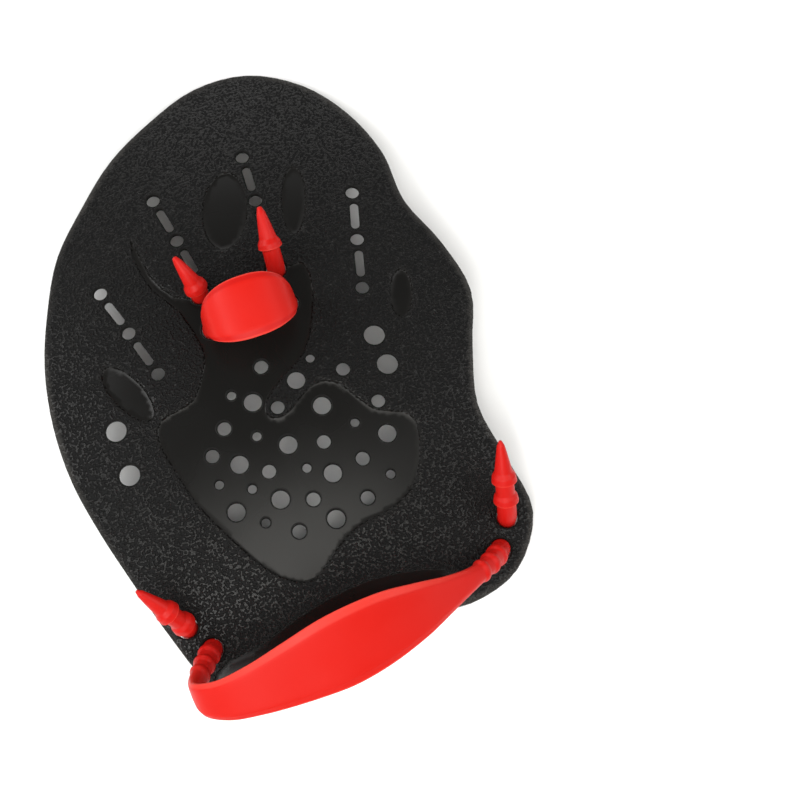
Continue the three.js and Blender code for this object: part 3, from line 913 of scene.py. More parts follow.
class WallGraph(FormGraph):
    """Adds the rounded walls of the rim and of every perforation to the hand side's skin.

    Each border point of the skin knows its way into the hole (or out of the rim), how round its
    lip is, how high its wall stands and where the underside lies below it. The borders are drawn
    down step by step, and the last step ends on the underside's own points.
    """

    ARC_STEPS = 4
    # Places of the Compare node's sockets for whole numbers, whose names its others share.
    COMPARED = 2
    COMPARED_WITH = 3

    def __init__(self, material: bpy.types.Material) -> None:
        """Build the tree.

        Args:
            material: What the plate is made of.
        """
        super().__init__("perforation_walls", ["Weld"])
        self.skin = self.start
        faces = self.node("GeometryNodeInputMeshEdgeNeighbors", output="Face Count")
        equal = {"data_type": "INT", "operation": "EQUAL"}
        on_border = {self.COMPARED: faces, self.COMPARED_WITH: 1}
        self.edge = self.node("FunctionNodeCompare", equal, on_border)
        inward = self.named("inward", "FLOAT_VECTOR")
        lip = self.named("lip")
        wall = self.named("wall")
        quarter = math.pi / 2
        turns = [quarter * i / self.ARC_STEPS for i in range(self.ARC_STEPS + 1)]
        arc = list(zip(turns, turns[1:], strict=False))
        for before, now in arc:
            run, fall = math.sin(now) - math.sin(before), math.cos(now) - math.cos(before)
            self._draw(inward, lip * run, lip * fall)
        self._draw(inward, 0.0, wall * -1.0)
        for now, before in reversed(arc):
            run, fall = math.sin(now) - math.sin(before), math.cos(before) - math.cos(now)
            self._draw(inward, lip * run, lip * fall)
        below = self.named("below", "FLOAT_VECTOR")
        seat = {"Geometry": self.skin, "Selection": self.edge, "Position": below}
        seated = self.node("GeometryNodeSetPosition", None, seat)
        under = self.node(
            "GeometryNodeSetPosition", None, {"Geometry": self.start, "Position": below}
        )
        grained = self.node(
            "GeometryNodeStoreNamedAttribute",
            {"data_type": "FLOAT", "domain": "POINT"},
            {"Geometry": under, "Name": "grain", "Value": 1.0},
        )
        flipped = self.node("GeometryNodeFlipFaces", None, {"Mesh": grained})
        both = self.node("GeometryNodeJoinGeometry", None, {"Geometry": seated})
        self.tree.links.new(flipped.output, both.output.node.inputs["Geometry"])
        close = {"Geometry": both, "Distance": self.sizes["Weld"]}
        self.finish(self.node("GeometryNodeMergeByDistance", None, close), material)

    def _draw(self, inward: Socket, run: Socket | float, fall: Socket | float) -> None:
        """Draw the skin's open borders one step further.

        Args:
            inward: Unit vector into the hole.
            run: Distance along it.
            fall: Distance along +Z.
        """
        step = {0: self.scaled(inward, run), 1: self.vector(0.0, 0.0, fall)}
        offset = self.node("ShaderNodeVectorMath", {"operation": "ADD"}, step)
        self.skin = self.node(
            "GeometryNodeExtrudeMesh",
            {"mode": "EDGES"},
            {"Mesh": self.skin, "Selection": self.edge, "Offset": offset, "Offset Scale": 1.0},
        )
        self.edge = Socket(self, self.skin.output.node.outputs["Top"])


@dataclass
class Plate:
    """The pierced, domed plate with a fine skin.

    Lengths are millimetres, and the grain and the edges' lightening, partly rubbing and partly
    painted highlight, are shares. Two shares of a lip's roundness are measured out from its hole: a
    triangle whose middle lies within `in_hole` is left out, and a point within `on_lip` belongs to
    the lip.
    """

    packed: PackedPlate
    finish: GrainedPlastic
    mesh_step: float = 1.7
    rim_step: float = 1.0
    hole_step: float = 0.55
    print_step: float = 0.85
    rim_round: float = 0.9
    lip_round: float = 0.4
    lip_margin: float = 0.3
    lip_grain: float = 0.1
    in_hole: float = 0.98
    on_lip: float = 1.1
    print_edge: float = 0.4
    # Lightening of the prints' edges and of the rim: partly wear, partly painted highlight.
    print_wear_and_highlight: float = 0.12
    rim_wear_and_highlight: float = 0.8
    rim_wear_and_highlight_reach: float = 1.2
    weld: float = 0.002
    merge: float = 1e-5
    edge_lines: tuple[float, ...] = (-1.0, -0.35, 0.35, 1.0)

    def build(self) -> bpy.types.Object:
        """Make the plate.

        Returns:
            The finished piece.
        """
        points, triangles = self._skin()
        sunk, nearness = self.packed.sunk_share(points, self.print_edge)
        recess = sunk * self.packed.print_depth
        domed = self.packed.dome.height(points)
        made = plain_mesh("plate_skin", np.column_stack([points, domed - recess]), triangles)
        inward, lip = self._walls(points)
        store(made, "inward", inward)
        store(made, "lip", lip * MM)
        store(made, "wall", (self.packed.thickness - 2 * lip - recess) * MM)
        store(made, "below", np.column_stack([points, domed - self.packed.thickness]) * MM)
        on_lip = lip < self.rim_round
        store(made, "grain", np.where(on_lip, self.lip_grain, 1 - sunk))
        # The edge attribute lightens the rim and the prints' edges: partly wear, partly painted
        # highlight.
        rim_wear_and_highlight = self._rim_nearness(points) * self.rim_wear_and_highlight
        store(made, "edge", np.where(on_lip, 0.0, np.maximum(nearness * self.print_wear_and_highlight, rim_wear_and_highlight)))
        store(made, "pierced", np.where(on_lip, 1.0, 0.0))
        tree = WallGraph(self.finish.material())
        apply_tree(made, tree, {"Weld": self.weld * MM})
        turn_outwards(made)
        for name in ("inward", "lip", "wall", "below"):
            made.data.attributes.remove(made.data.attributes[name])
        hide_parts(self.packed.node)
        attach(made, "root")
        return made

    def _rim_nearness(self, points: np.ndarray) -> np.ndarray:
        """Say how near places are to the rim, from 0 to 1."""
        distance, _ = self.packed.outline.nearest(points)
        return np.clip(1 + (distance + self.rim_round) / self.rim_wear_and_highlight_reach, 0, 1)

    def _lines(self) -> list[np.ndarray]:
        """Lay out every closed line that the skin's triangles follow.

        Returns:
            Rows of x and y of each, the rim's first.
        """
        outline = self.packed.outline
        loops = [smooth_closed(outline.loop - outline.normals * self.rim_round, self.rim_step)]
        for margin in (self.lip_round, self.lip_round + self.lip_margin):
            loops += [hole.loop(margin, self.hole_step) for hole in self.packed.holes]
        for border in self.packed.prints:
            middle = smooth_closed(border.loop, self.print_step)
            loops += [middle + outward_normals(middle) * self.print_edge * k for k in self.edge_lines]
        return loops

    def _skin(self) -> tuple[np.ndarray, list[list[int]]]:
        """Divide the hand side into small triangles that follow every line on it.

        Returns:
            Rows of x and y, and the triangles.
        """
        loops = self._lines()
        corners = np.vstack(loops)
        tree = point_tree(corners)
        low, high = loops[0].min(0), loops[0].max(0)
        half = self.mesh_step / 2
        rows = np.arange(low[1], high[1], half * math.sqrt(3))
        grid = [
            (x + (half if j % 2 else 0.0), y)
            for j, y in enumerate(rows)
            for x in np.arange(low[0], high[0], self.mesh_step)
        ]
        free = [p for p in grid if tree.find((*p, 0.0))[2] > half]
        edges = []
        start = 0
        for loop in loops:
            count = len(loop)
            edges += [(start + i, start + (i + 1) % count) for i in range(count)]
            start += count
        every = [Vector(p) for p in np.vstack([corners, free]).tolist()]
        found, _, faces, _, _, _ = delaunay_2d_cdt(every, edges, [], 0, self.merge)
        points = np.array(found)
        faces = np.array(faces)
        middles = points[faces].mean(1)
        keep = inside_loop(middles, loops[0])
        for hole in self.packed.holes:
            reach = hole.radius + self.lip_round * self.in_hole
            keep &= np.linalg.norm(hole.to_axis(middles), axis=1) > reach
        faces = faces[keep]
        used, numbers = np.unique(faces, return_inverse=True)
        LOG.info("plate skin: %d lines, %d triangles", len(loops), len(faces))
        return points[used], numbers.reshape(-1, 3).tolist()

    def _walls(self, points: np.ndarray) -> tuple[np.ndarray, np.ndarray]:
        """Find which wall each place borders on.

        Args:
            points: Rows of x and y.

        Returns:
            Unit vectors into the hole or out of the rim, and the radius of the lip there.
        """
        _, normals = self.packed.outline.nearest(points)
        ways = normals.copy()
        lip = np.full(len(points), self.rim_round)
        for hole in self.packed.holes:
            to_axis = hole.to_axis(points)
            distance = np.linalg.norm(to_axis, axis=1)
            near = distance < hole.radius + self.lip_round * self.on_lip
            ways[near] = to_axis[near] / distance[near][:, None]
            lip[near] = self.lip_round
        return np.column_stack([ways, np.zeros(len(points))]), lip


class Side(Enum):
    """The two ends of a strap: -1 away from the thumb, +1 next to it."""

    LEFT = -1
    RIGHT = 1


@dataclass(frozen=True)
class BandRow:
    """A place on a band: shares of the strap's sizes, and a lean in degrees."""

    span: float
    slump: float
    rise: float
    wide: float
    flat: float
    lean: float


@dataclass(frozen=True)
class TailRow:
    """A place on a tail: shares of its length, of the cord's width and of the collar."""

    at: float
    wide: float
    collar: float


@dataclass(frozen=True)
class TailLean:
    """How a tail stands: degrees of heading and lift, and its slip as a share of the cord."""

    heading: float
    lift: float
    slip: float


@dataclass(frozen=True)
class Ring:
    """A section of a strap: middle, half axes, flatness, place on a neck, nearness to a lip."""

    centre: np.ndarray
    wide: np.ndarray
    thick: np.ndarray
    flat: float = 0.0
    neck: float = -1.0
    lip: float = 0.0


SIDES = 48
ROUND_SECTION = np.array(
    [(math.cos(2 * math.pi * i / SIDES), math.sin(2 * math.pi * i / SIDES)) for i in range(SIDES)]
)
# A quarter of the flat band's section, from its edge to its middle: shares of half the width and
# of half the thickness.
BAND_QUARTER = (
    (1.0, 0.0), (0.998, 0.2), (0.988, 0.38), (0.97, 0.47), (0.93, 0.56), (0.88, 0.68),
    (0.83, 0.81), (0.8, 0.9), (0.76, 0.97), (0.66, 1.0), (0.44, 1.0), (0.22, 1.0),
)


def band_section() -> np.ndarray:
    """Mirror the quarter section of the flat band.

    Returns:
        Rows of shares of its half width and half thickness, round the whole section.
    """
    quarter = np.array(BAND_QUARTER)
    up = np.vstack([quarter, [(0.0, 1.0)]])
    half = np.vstack([up, up[-2:0:-1] * (-1, 1)])
    return np.vstack([half, half * (-1, -1)])


BAND_SECTION = band_section()


def smooth_value(rows: Sequence[float], t: float) -> float:
    """Read a smooth curve through evenly spaced values.

    Args:
        rows: The values.
        t: A share of their run.

    Returns:
        The value there.
    """
    at = min(max(t, 0.0), 1.0) * (len(rows) - 1)
    i = min(int(at), len(rows) - 2)
    here, after = rows[i], rows[i + 1]
    before = rows[i - 1] if i else 2 * here - after
    later = rows[i + 2] if i + 2 < len(rows) else 2 * after - here
    return catmull_rom(before, here, after, later, at - i)


def centripetal(points: np.ndarray, steps: int) -> tuple[np.ndarray, np.ndarray]:
    """Lay a centripetal Catmull-Rom curve through points.

    Args:
        points: Rows of x, y and z.
        steps: Divisions between two of them.

    Returns:
        Points on the curve, and the share of the rows that each lies at.
    """
    padded = np.vstack([2 * points[0] - points[1], points, 2 * points[-1] - points[-2]])
    found, shares = [], []
    for i in range(len(points) - 1):
        p0, p1, p2, p3 = padded[i : i + 4]
        gaps = [math.sqrt(np.linalg.norm(b - a)) or 1.0 for a, b in ((p0, p1), (p1, p2), (p2, p3))]
        g0, g1, g2 = gaps
        t1 = ((p1 - p0) / g0 - (p2 - p0) / (g0 + g1) + (p2 - p1) / g1) * g1
        t2 = ((p2 - p1) / g1 - (p3 - p1) / (g1 + g2) + (p3 - p2) / g2) * g1
        last = i == len(points) - 2
        for k in range(steps + (1 if last else 0)):
            u = k / steps
            found.append(
                p1
                + t1 * u
                + (-3 * p1 + 3 * p2 - 2 * t1 - t2) * u**2
                + (2 * p1 - 2 * p2 + t1 + t2) * u**3
            )
            shares.append((i + u) / (len(points) - 1))
    return np.array(found), np.array(shares)


def unit(vector: np.ndarray) -> np.ndarray:
    """Return a vector of length 1."""
    return vector / np.linalg.norm(vector)


def along_curve(
    curve: np.ndarray, gone: np.ndarray, stop: float, look: float
) -> tuple[np.ndarray, np.ndarray]:
    """Find a place on a curve and the way on from it.

    Args:
        curve: Rows of x, y and z.
        gone: How far along it each row lies.
        stop: How far along it the place lies.
        look: How far ahead of the place and back from it the way is measured.

    Returns:
        The place, and a unit vector.
    """
    centre, ahead, back = (
        np.array([np.interp(s, gone, curve[:, i]) for i in range(3)])
        for s in (stop, stop + look, stop - look)
    )
    return centre, unit(ahead - back)


def rising(values: np.ndarray, span: Range) -> np.ndarray:
    """Return 0 up to a span's start, 1 from its end on, and a straight rise between."""
    return np.clip((values - span[0]) / (span[1] - span[0]), 0, 1)


def tube_faces(count: int) -> list[tuple[int, ...]]:
    """Join rings of SIDES points, and close both ends to a tip.

    Args:
        count: How many rings there are. The first tip's number comes after theirs, then the last's.

    Returns:
        The vertex numbers of each face.
    """
    pairs = [(i, (i + 1) % SIDES) for i in range(SIDES)]
    faces: list[tuple[int, ...]] = []
    for start in range(0, (count - 1) * SIDES, SIDES):
        faces += [(start + i, start + j, start + j + SIDES, start + i + SIDES) for i, j in pairs]
    first, last, final = count * SIDES, count * SIDES + 1, (count - 1) * SIDES
    for i, j in pairs:
        faces += [(first, j, i), (last, final + i, final + j)]
    return faces


class RibGraph(FormGraph):
    """Raises ribs round a strap's necks, from each point's distance along its neck."""

    def __init__(self, material: bpy.types.Material) -> None:
        """Build the tree.

        Args:
            material: What the strap is made of.
        """
        super().__init__("neck_ribs", ["Rib Height", "Rib Pitch", "Rib Width", "Neck Length"])
        neck = self.named("neck")
        phase = neck.math("DIVIDE", self.sizes["Rib Pitch"]).math("FRACT") - 0.5
        away = phase.math("ABSOLUTE") * self.sizes["Rib Pitch"]
        share = away.math("DIVIDE", self.sizes["Rib Width"] * 0.5)
        bump = (1.0 - share * share).math("MAXIMUM", 0.0)
        on_neck = neck.math("GREATER_THAN", 0.0) * neck.math("LESS_THAN", self.sizes["Neck Length"])
        height = bump * on_neck * self.sizes["Rib Height"]
        offset = self.scaled(self.node("GeometryNodeInputNormal"), height)
        raised = self.node(
            "GeometryNodeSetPosition", None, {"Geometry": self.start, "Offset": offset}
        )
        self.finish(raised, material)


@dataclass
class Strap:
    """A soft strap, threaded through the plate at both ends. Lengths are millimetres."""

    # Points on a tail's curve and divisions between two of the band's rows.
    TAIL_POINTS = 241
    ROW_STEPS = 40
    # Rings of a cord down its hole, round the corner under it and up to the band, ends counted.
    SHAFT_RINGS = 7
    CORNER_RINGS = 10
    FOOT_RINGS = 7
    # How far ahead and back a tail's and the band's direction is measured.
    TAIL_LOOK = 0.2
    BAND_LOOK = 0.4
    # Shares of the band's half width over which its painted highlight line at the edge, and the
    # painted shade (finger band) and one-sided painted highlight (wrist band) on its bevel, set in.
    EDGE_LINE: ClassVar[Range] = (0.95, 0.98)
    BEVEL: ClassVar[Range] = (0.76, 0.83)

    name: str
    dome: Dome
    origin: np.ndarray
    finish: SoftSilicone
    span: float
    across: float
    along: float
    tail_reach: float
    tail_spread: float
    cord: float
    collar: float
    tail_length: float
    rise: float
    slump: float
    band_width: float
    band_thickness: float
    band: tuple[BandRow, ...]
    tail: tuple[TailRow, ...]
    leans: dict[Side, TailLean]
    ribs: int = 0
    rib_pitch: float = 6.4
    rib_height: float = 0.0
    rib_width: float = 3.4
    # Painted highlight on one side of the band's bevel.
    painted_side_highlight: float = 0.0
    # Painted shade on the band's bevel.
    painted_bevel_shade: float = 0.7
    clearance: float = 0.45
    bridge: float = 3.4
    upright: float = 0.9
    flange: float = 0.4
    crease: float = 0.1
    thickness: float = 2.8
    fine_step: float = 0.45
    band_step: float = 1.1

    def build(self, node: str) -> bpy.types.Object:
        """Make the strap.

        Args:
            node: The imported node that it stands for.

        Returns:
            The finished piece.
        """
        left, left_tip = self._tail(Side.LEFT)
        right, right_tip = self._tail(Side.RIGHT)
        rings = [
            *left[::-1],
            *self._bridge(Side.LEFT),
            *self._band(),
            *self._bridge(Side.RIGHT)[::-1],
            *right,
        ]
        made = self._loft(rings, left_tip, right_tip)
        sizes = {
            "Rib Height": self.rib_height * MM,
            "Rib Pitch": self.rib_pitch * MM,
            "Rib Width": self.rib_width * MM,
            "Neck Length": self.ribs * self.rib_pitch * MM,
        }
        apply_tree(made, RibGraph(self.finish.material()), sizes)
        turn_outwards(made)
        made.data.attributes.remove(made.data.attributes["neck"])
        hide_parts(node)
        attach(made, "root")
        return made

    def _holes(self, side: Side) -> tuple[np.ndarray, np.ndarray, np.ndarray]:
        """Place one side's holes.

        Args:
            side: Which end of the strap.

        Returns:
            The neck's hole, the tail's hole and the way from the first to the second.
        """
        neck = self.origin + (self.across + side.value * self.span / 2, self.along)
        spread = math.radians(self.tail_spread) * side.value
        way = np.array([math.sin(spread), math.cos(spread)])
        return neck, neck + way * self.tail_reach, way

    def _hole_top(self, hole: np.ndarray) -> float:
        """Return the height of the highest part of a strap hole's rim."""
        rim = hole + ROUND_SECTION * (self.cord / 2 + self.clearance)
        return float(self.dome.height(rim).max())

    def _tail(self, side: Side) -> tuple[list[Ring], np.ndarray]:
        """Lay out a tail.

        Args:
            side: Which end of the strap.

        Returns:
            Its rings from the plate outwards, and its tip.
        """
        hole = self._holes(side)[1]
        lean = self.leans[side]
        heading, lift = math.radians(lean.heading), math.radians(lean.lift)
        way = np.array([math.sin(heading), math.cos(heading), 0.0])
        away = way * math.cos(lift) + (0.0, 0.0, math.sin(lift))
        base = np.array([*hole, self._hole_top(hole)])
        bend = base + (0.0, 0.0, self.cord * self.upright)
        slip = lean.slip * self.cord
        length = self.tail_length + slip
        tip = bend + away * (length - self.cord * self.upright)
        u = np.linspace(0, 1, self.TAIL_POINTS)[:, None]
        curve = (1 - u) ** 2 * base + 2 * u * (1 - u) * bend + u**2 * tip
        gone = travelled(curve)
        gone *= length / gone[-1]
        sideways = np.array([way[1], -way[0], 0.0])
        rings = []
        for stop, width, lip in zip(*self._tail_widths(slip, length), strict=True):
            centre, run = along_curve(curve, gone, stop, self.TAIL_LOOK)
            rings.append(self._ring(centre, run, sideways, width, width, 0.0, lip=lip))
        return rings, tip

    def _tail_widths(self, slip: float, length: float) -> tuple[np.ndarray, np.ndarray, np.ndarray]:
        """Work out how wide a tail is along its length.

        Args:
            slip: How much longer than usual it is, being pulled further through its hole.
            length: Its length with the slip.

        Returns:
            Distances from the plate, the width at each, and how near each is to a collar's lip,
            from 0 to 1.
        """
        stem = self.tail[1].at
        out = [row.at * self.tail_length + slip * min(1.0, row.at / stem) for row in self.tail]
        wide = [row.wide * self.cord + row.collar * (self.collar - self.cord) for row in self.tail]
        collars = [i for i, row in enumerate(self.tail) if row.collar == 1]
        for i in collars:
            out[i - 1] = out[i] - self.flange
        even = np.arange(self.fine_step, length, self.fine_step)
        rounds = [place + shift for place in out for shift in (-self.crease, self.crease)]
        stops = np.unique(np.concatenate([even, rounds]).round(1))
        stops = stops[(stops > self.crease) & (stops < length - self.crease / 2)]
        widths = np.interp(stops, [0.0, *out], [self.cord, *wide])
        cap = rising(stops, (out[-1], length))
        away = np.abs(stops[:, None] - np.array(out)[collars]).min(1)
        return stops, widths * np.sqrt(1 - cap**2), np.maximum(1 - away / self.flange, 0.0)

    @staticmethod
    def _ring(
        centre: np.ndarray,
        run: np.ndarray,
        wanted: np.ndarray,
        wide: float,
        thick: float,
        flat: float,
        neck: float = -1.0,
        lip: float = 0.0,
    ) -> Ring:
        """Return a ring square to the run, as wide as asked towards the wanted direction."""
        across = unit(wanted - run * (wanted @ run))
        return Ring(centre, across * wide / 2, np.cross(run, across) * thick / 2, flat, neck, lip)

    def _bridge(self, side: Side) -> list[Ring]:
        """Lay out the cord from a tail's hole, flat under the plate, and up the neck's hole.

        Args:
            side: Which end of the strap.

        Returns:
            Its rings in that order.
        """
        neck, tail, way = self._holes(side)
        return self._passage(tail, way, -1.0) + self._passage(neck, way, 1.0)[::-1]

    def _passage(self, hole: np.ndarray, way: np.ndarray, onward: float) -> list[Ring]:
        """Lay out the cord down through a hole and round the corner under the plate.

        Args:
            hole: The hole's place.
            way: Unit vector from the neck's hole to the tail's.
            onward: 1 where the cord turns that way under the plate, -1 where it turns back.

        Returns:
            Its rings from the plate's top to its underside.
        """
        half = self.cord / 2
        reach = half + self.clearance
        along = np.array([*way, 0.0])
        across = np.array([way[1], -way[0], 0.0])
        spots = [
            [hole + way * i * reach + across[:2] * j * half for i in (-1, 0, 1)] for j in (-1, 0, 1)
        ]
        low = [float(self.dome.height(np.array(row)).min()) for row in spots]
        under = [z - self.thickness - self.clearance for z in low]
        lowest = min(under[1], (under[0] + under[2]) / 2)
        tilted = (across + (0.0, 0.0, (under[2] - under[0]) / self.cord)) * half
        top = self._hole_top(hole)
        rings = []
        for share in np.linspace(0, 1, self.SHAFT_RINGS)[:-1]:
            level = np.array([*hole, top + (lowest - top) * share])
            leaning = across * half * (1 - share) + tilted * share
            rings.append(Ring(level, leaning, along * half))
        inward = along * onward
        corner = np.array([*hole, lowest]) + inward * half
        for angle in np.linspace(0, math.pi / 2, self.CORNER_RINGS):
            drop = (0, 0, self.bridge * math.sin(angle))
            outer = -inward * self.cord * math.cos(angle) - drop
            rings.append(Ring(corner + outer / 2, tilted, outer / 2))
        return rings

    def _foot(self, side: Side, nearest: Ring) -> list[Ring]:
        """Lay out a neck's foot, straight from the upright ring in its hole to the band.

        Args:
            side: Which end of the strap.
            nearest: The band's first ring there.

        Returns:
            The rings between the two, from the hole upwards.
        """
        hole = self._holes(side)[0]
        level = np.array([*hole, self._hole_top(hole)])
        wide = unit(nearest.wide * (1, 1, 0)) * self.cord / 2
        thick = np.cross((0.0, 0.0, 1.0), wide)
        thick = thick if thick @ nearest.thick > 0 else -thick
        rings = []
        for share in np.linspace(0, 1, self.FOOT_RINGS)[1:-1]:
            rings.append(
                Ring(
                    level + (nearest.centre - level) * share,
                    wide + (nearest.wide - wide) * share,
                    thick + (nearest.thick - thick) * share,
                    nearest.flat * share,
                    self.rib_pitch / 2 * share,
                )
            )
        return rings

    def _route(self) -> np.ndarray:
        """Place the band's rows between the neck holes.

        Returns:
            Rows of x, y and z.
        """
        heights = [self.dome.height(self._holes(side)[0]) for side in Side]
        places = []
        for row in self.band:
            share = (row.span + 1) / 2
            floor = heights[0] + (heights[1] - heights[0]) * share
            x, y = self.origin + (
                self.across + row.span * self.span / 2,
                self.along - row.slump * self.slump,
            )
            places.append((x, y, floor + row.rise * self.rise))
        return np.array(places)

    def _band(self) -> list[Ring]:
        """Lay out the band between the neck holes, with the feet of its necks.

        Returns:
            Its rings from the left hole to the right one.
        """
        curve, shares = centripetal(self._route(), self.ROW_STEPS)
        gone = travelled(curve)
        length = gone[-1]
        neck = max(self.ribs * self.rib_pitch, self.cord)
        near = np.arange(self.rib_pitch / 2, neck, self.fine_step)
        middle = np.linspace(neck, length - neck, round((length - 2 * neck) / self.band_step))
        rings = []
        for stop in np.concatenate([near, middle, (length - near)[::-1]]):
            centre, run = along_curve(curve, gone, stop, self.BAND_LOOK)
            t = float(np.interp(stop, gone, shares))
            lean = math.radians(smooth_value([row.lean for row in self.band], t))
            flat = min(max(smooth_value([row.flat for row in self.band], t), 0.0), 1.0)
            share = max(smooth_value([row.wide for row in self.band], t), 0.0)
            wide = self.cord + share * (self.band_width - self.cord)
            thick = self.cord + (self.band_thickness - self.cord) * math.sqrt(flat)
            wanted = np.array([0.0, math.cos(lean), math.sin(lean)])
            from_plate = float(min(stop, length - stop))
            rings.append(self._ring(centre, run, wanted, wide, thick, flat, from_plate))
        return [*self._foot(Side.LEFT, rings[0]), *rings, *self._foot(Side.RIGHT, rings[-1])[::-1]]

    def _loft(self, rings: list[Ring], first: np.ndarray, last: np.ndarray) -> bpy.types.Object:
        """Skin the rings in order, closed at both tips.

        Args:
            rings: The strap's rings from the left tip to the right one.
            first: The left tip.
            last: The right tip.

        Returns:
            The strap's mesh object with its attributes.
        """
        rows, painted_highlight, margin, cord, neck = [], [], [], [], []
        for i, ring in enumerate(rings):
            section = ROUND_SECTION * (1 - ring.flat) + BAND_SECTION * ring.flat
            onward = rings[min(i + 1, len(rings) - 1)].centre - rings[max(i - 1, 0)].centre
            thick = ring.thick if np.cross(ring.wide, ring.thick) @ onward > 0 else -ring.thick
            row = ring.centre + section[:, :1] * ring.wide + section[:, 1:] * thick
            if rows:
                turns = [np.sum((np.roll(row, -k, 0) - rows[-1]) ** 2) for k in range(SIDES)]
                turn = int(np.argmin(turns))
                row, section = np.roll(row, -turn, 0), np.roll(section, -turn, 0)
            rows.append(row)
            outward = np.abs(section[:, 0])
            edge_line = rising(outward, self.EDGE_LINE)
            bevel = rising(outward, self.BEVEL)
            # Painted highlight on the band's edge line, on one side of the bevel and on the collars'
            # lips.
            pale = bevel * (section[:, 0] > 0) * self.painted_side_highlight
            painted_highlight.append(np.maximum(np.maximum(edge_line, pale) * ring.flat, ring.lip))
            # The margin attribute is painted shade on the bevel.
            margin.append(bevel * (1 - edge_line) * ring.flat * self.painted_bevel_shade)
            cord.append(np.full(SIDES, 1 - ring.flat))
            neck.append(np.full(SIDES, ring.neck * MM))
        made = plain_mesh(self.name, np.vstack([*rows, first, last]), tube_faces(len(rows)))
        layers = {"painted_highlight": (painted_highlight, 0.0), "margin": (margin, 0.0), "cord": (cord, 1.0), "neck": (neck, -1.0)}
        for name, (values, tips) in layers.items():
            store(made, name, np.concatenate([*values, [tips, tips]]))
        return made


FINGER_BAND = (
    BandRow(-1.0, 0.0, 0.1, 0.0, 0.0, 0.0),
    BandRow(-1.05, 0.1, 0.28, 0.06, 0.35, 2.0),
    BandRow(-1.07, 0.35, 0.5, 0.26, 1.0, 4.0),
    BandRow(-0.94, 0.65, 0.75, 0.58, 1.0, 6.0),
    BandRow(-0.66, 0.85, 0.91, 0.84, 1.0, 6.0),
    BandRow(-0.34, 0.96, 0.98, 0.97, 1.0, 6.0),
    BandRow(0.0, 1.0, 1.0, 1.0, 1.0, 6.0),
    BandRow(0.34, 0.96, 0.98, 0.97, 1.0, 6.0),
    BandRow(0.66, 0.85, 0.91, 0.84, 1.0, 6.0),
    BandRow(0.94, 0.65, 0.75, 0.58, 1.0, 6.0),
    BandRow(1.07, 0.35, 0.5, 0.26, 1.0, 4.0),
    BandRow(1.05, 0.1, 0.28, 0.06, 0.35, 2.0),
    BandRow(1.0, 0.0, 0.1, 0.0, 0.0, 0.0),
)
WRIST_BAND = (
    BandRow(-1.01, 0.03, 0.07, 0.0, 0.0, 20.0),
    BandRow(-1.05, 0.16, 0.17, 0.0, 0.0, 22.0),
    BandRow(-1.11, 0.36, 0.32, 0.0, 0.05, 26.0),
    BandRow(-1.17, 0.6, 0.48, 0.08, 0.35, 30.0),
    BandRow(-1.16, 0.82, 0.64, 0.26, 0.85, 32.0),
    BandRow(-1.02, 0.98, 0.76, 0.4, 1.0, 32.0),
    BandRow(-0.8, 1.02, 0.87, 0.57, 1.0, 32.0),
    BandRow(-0.52, 0.98, 0.95, 0.8, 1.0, 32.0),
    BandRow(-0.22, 0.9, 1.0, 0.98, 1.0, 32.0),
    BandRow(0.08, 0.79, 0.96, 0.9, 1.0, 32.0),
    BandRow(0.34, 0.68, 0.83, 0.6, 1.0, 30.0),
    BandRow(0.56, 0.54, 0.64, 0.26, 0.8, 28.0),
    BandRow(0.75, 0.38, 0.43, 0.04, 0.2, 26.0),
    BandRow(0.9, 0.2, 0.24, 0.0, 0.0, 22.0),
    BandRow(0.98, 0.06, 0.09, 0.0, 0.0, 20.0),
)
FINGER_TAIL = (
    TailRow(0.1, 1.0, 0.0), TailRow(0.3, 0.98, 0.0), TailRow(0.35, 1.0, 1.0),
    TailRow(0.43, 1.0, 0.75), TailRow(0.5, 0.95, 0.05), TailRow(0.72, 0.72, 0.0),
    TailRow(0.9, 0.48, 0.0), TailRow(0.97, 0.3, 0.0),
)
WRIST_TAIL = (
    TailRow(0.08, 1.0, 0.0), TailRow(0.24, 0.98, 0.0), TailRow(0.27, 1.0, 1.0),
    TailRow(0.33, 1.0, 0.7), TailRow(0.37, 0.96, 0.0), TailRow(0.49, 0.96, 0.0),
    TailRow(0.52, 1.0, 1.0), TailRow(0.59, 1.0, 0.7), TailRow(0.64, 0.92, 0.0),
    TailRow(0.82, 0.62, 0.0), TailRow(0.94, 0.4, 0.0), TailRow(0.98, 0.22, 0.0),
)


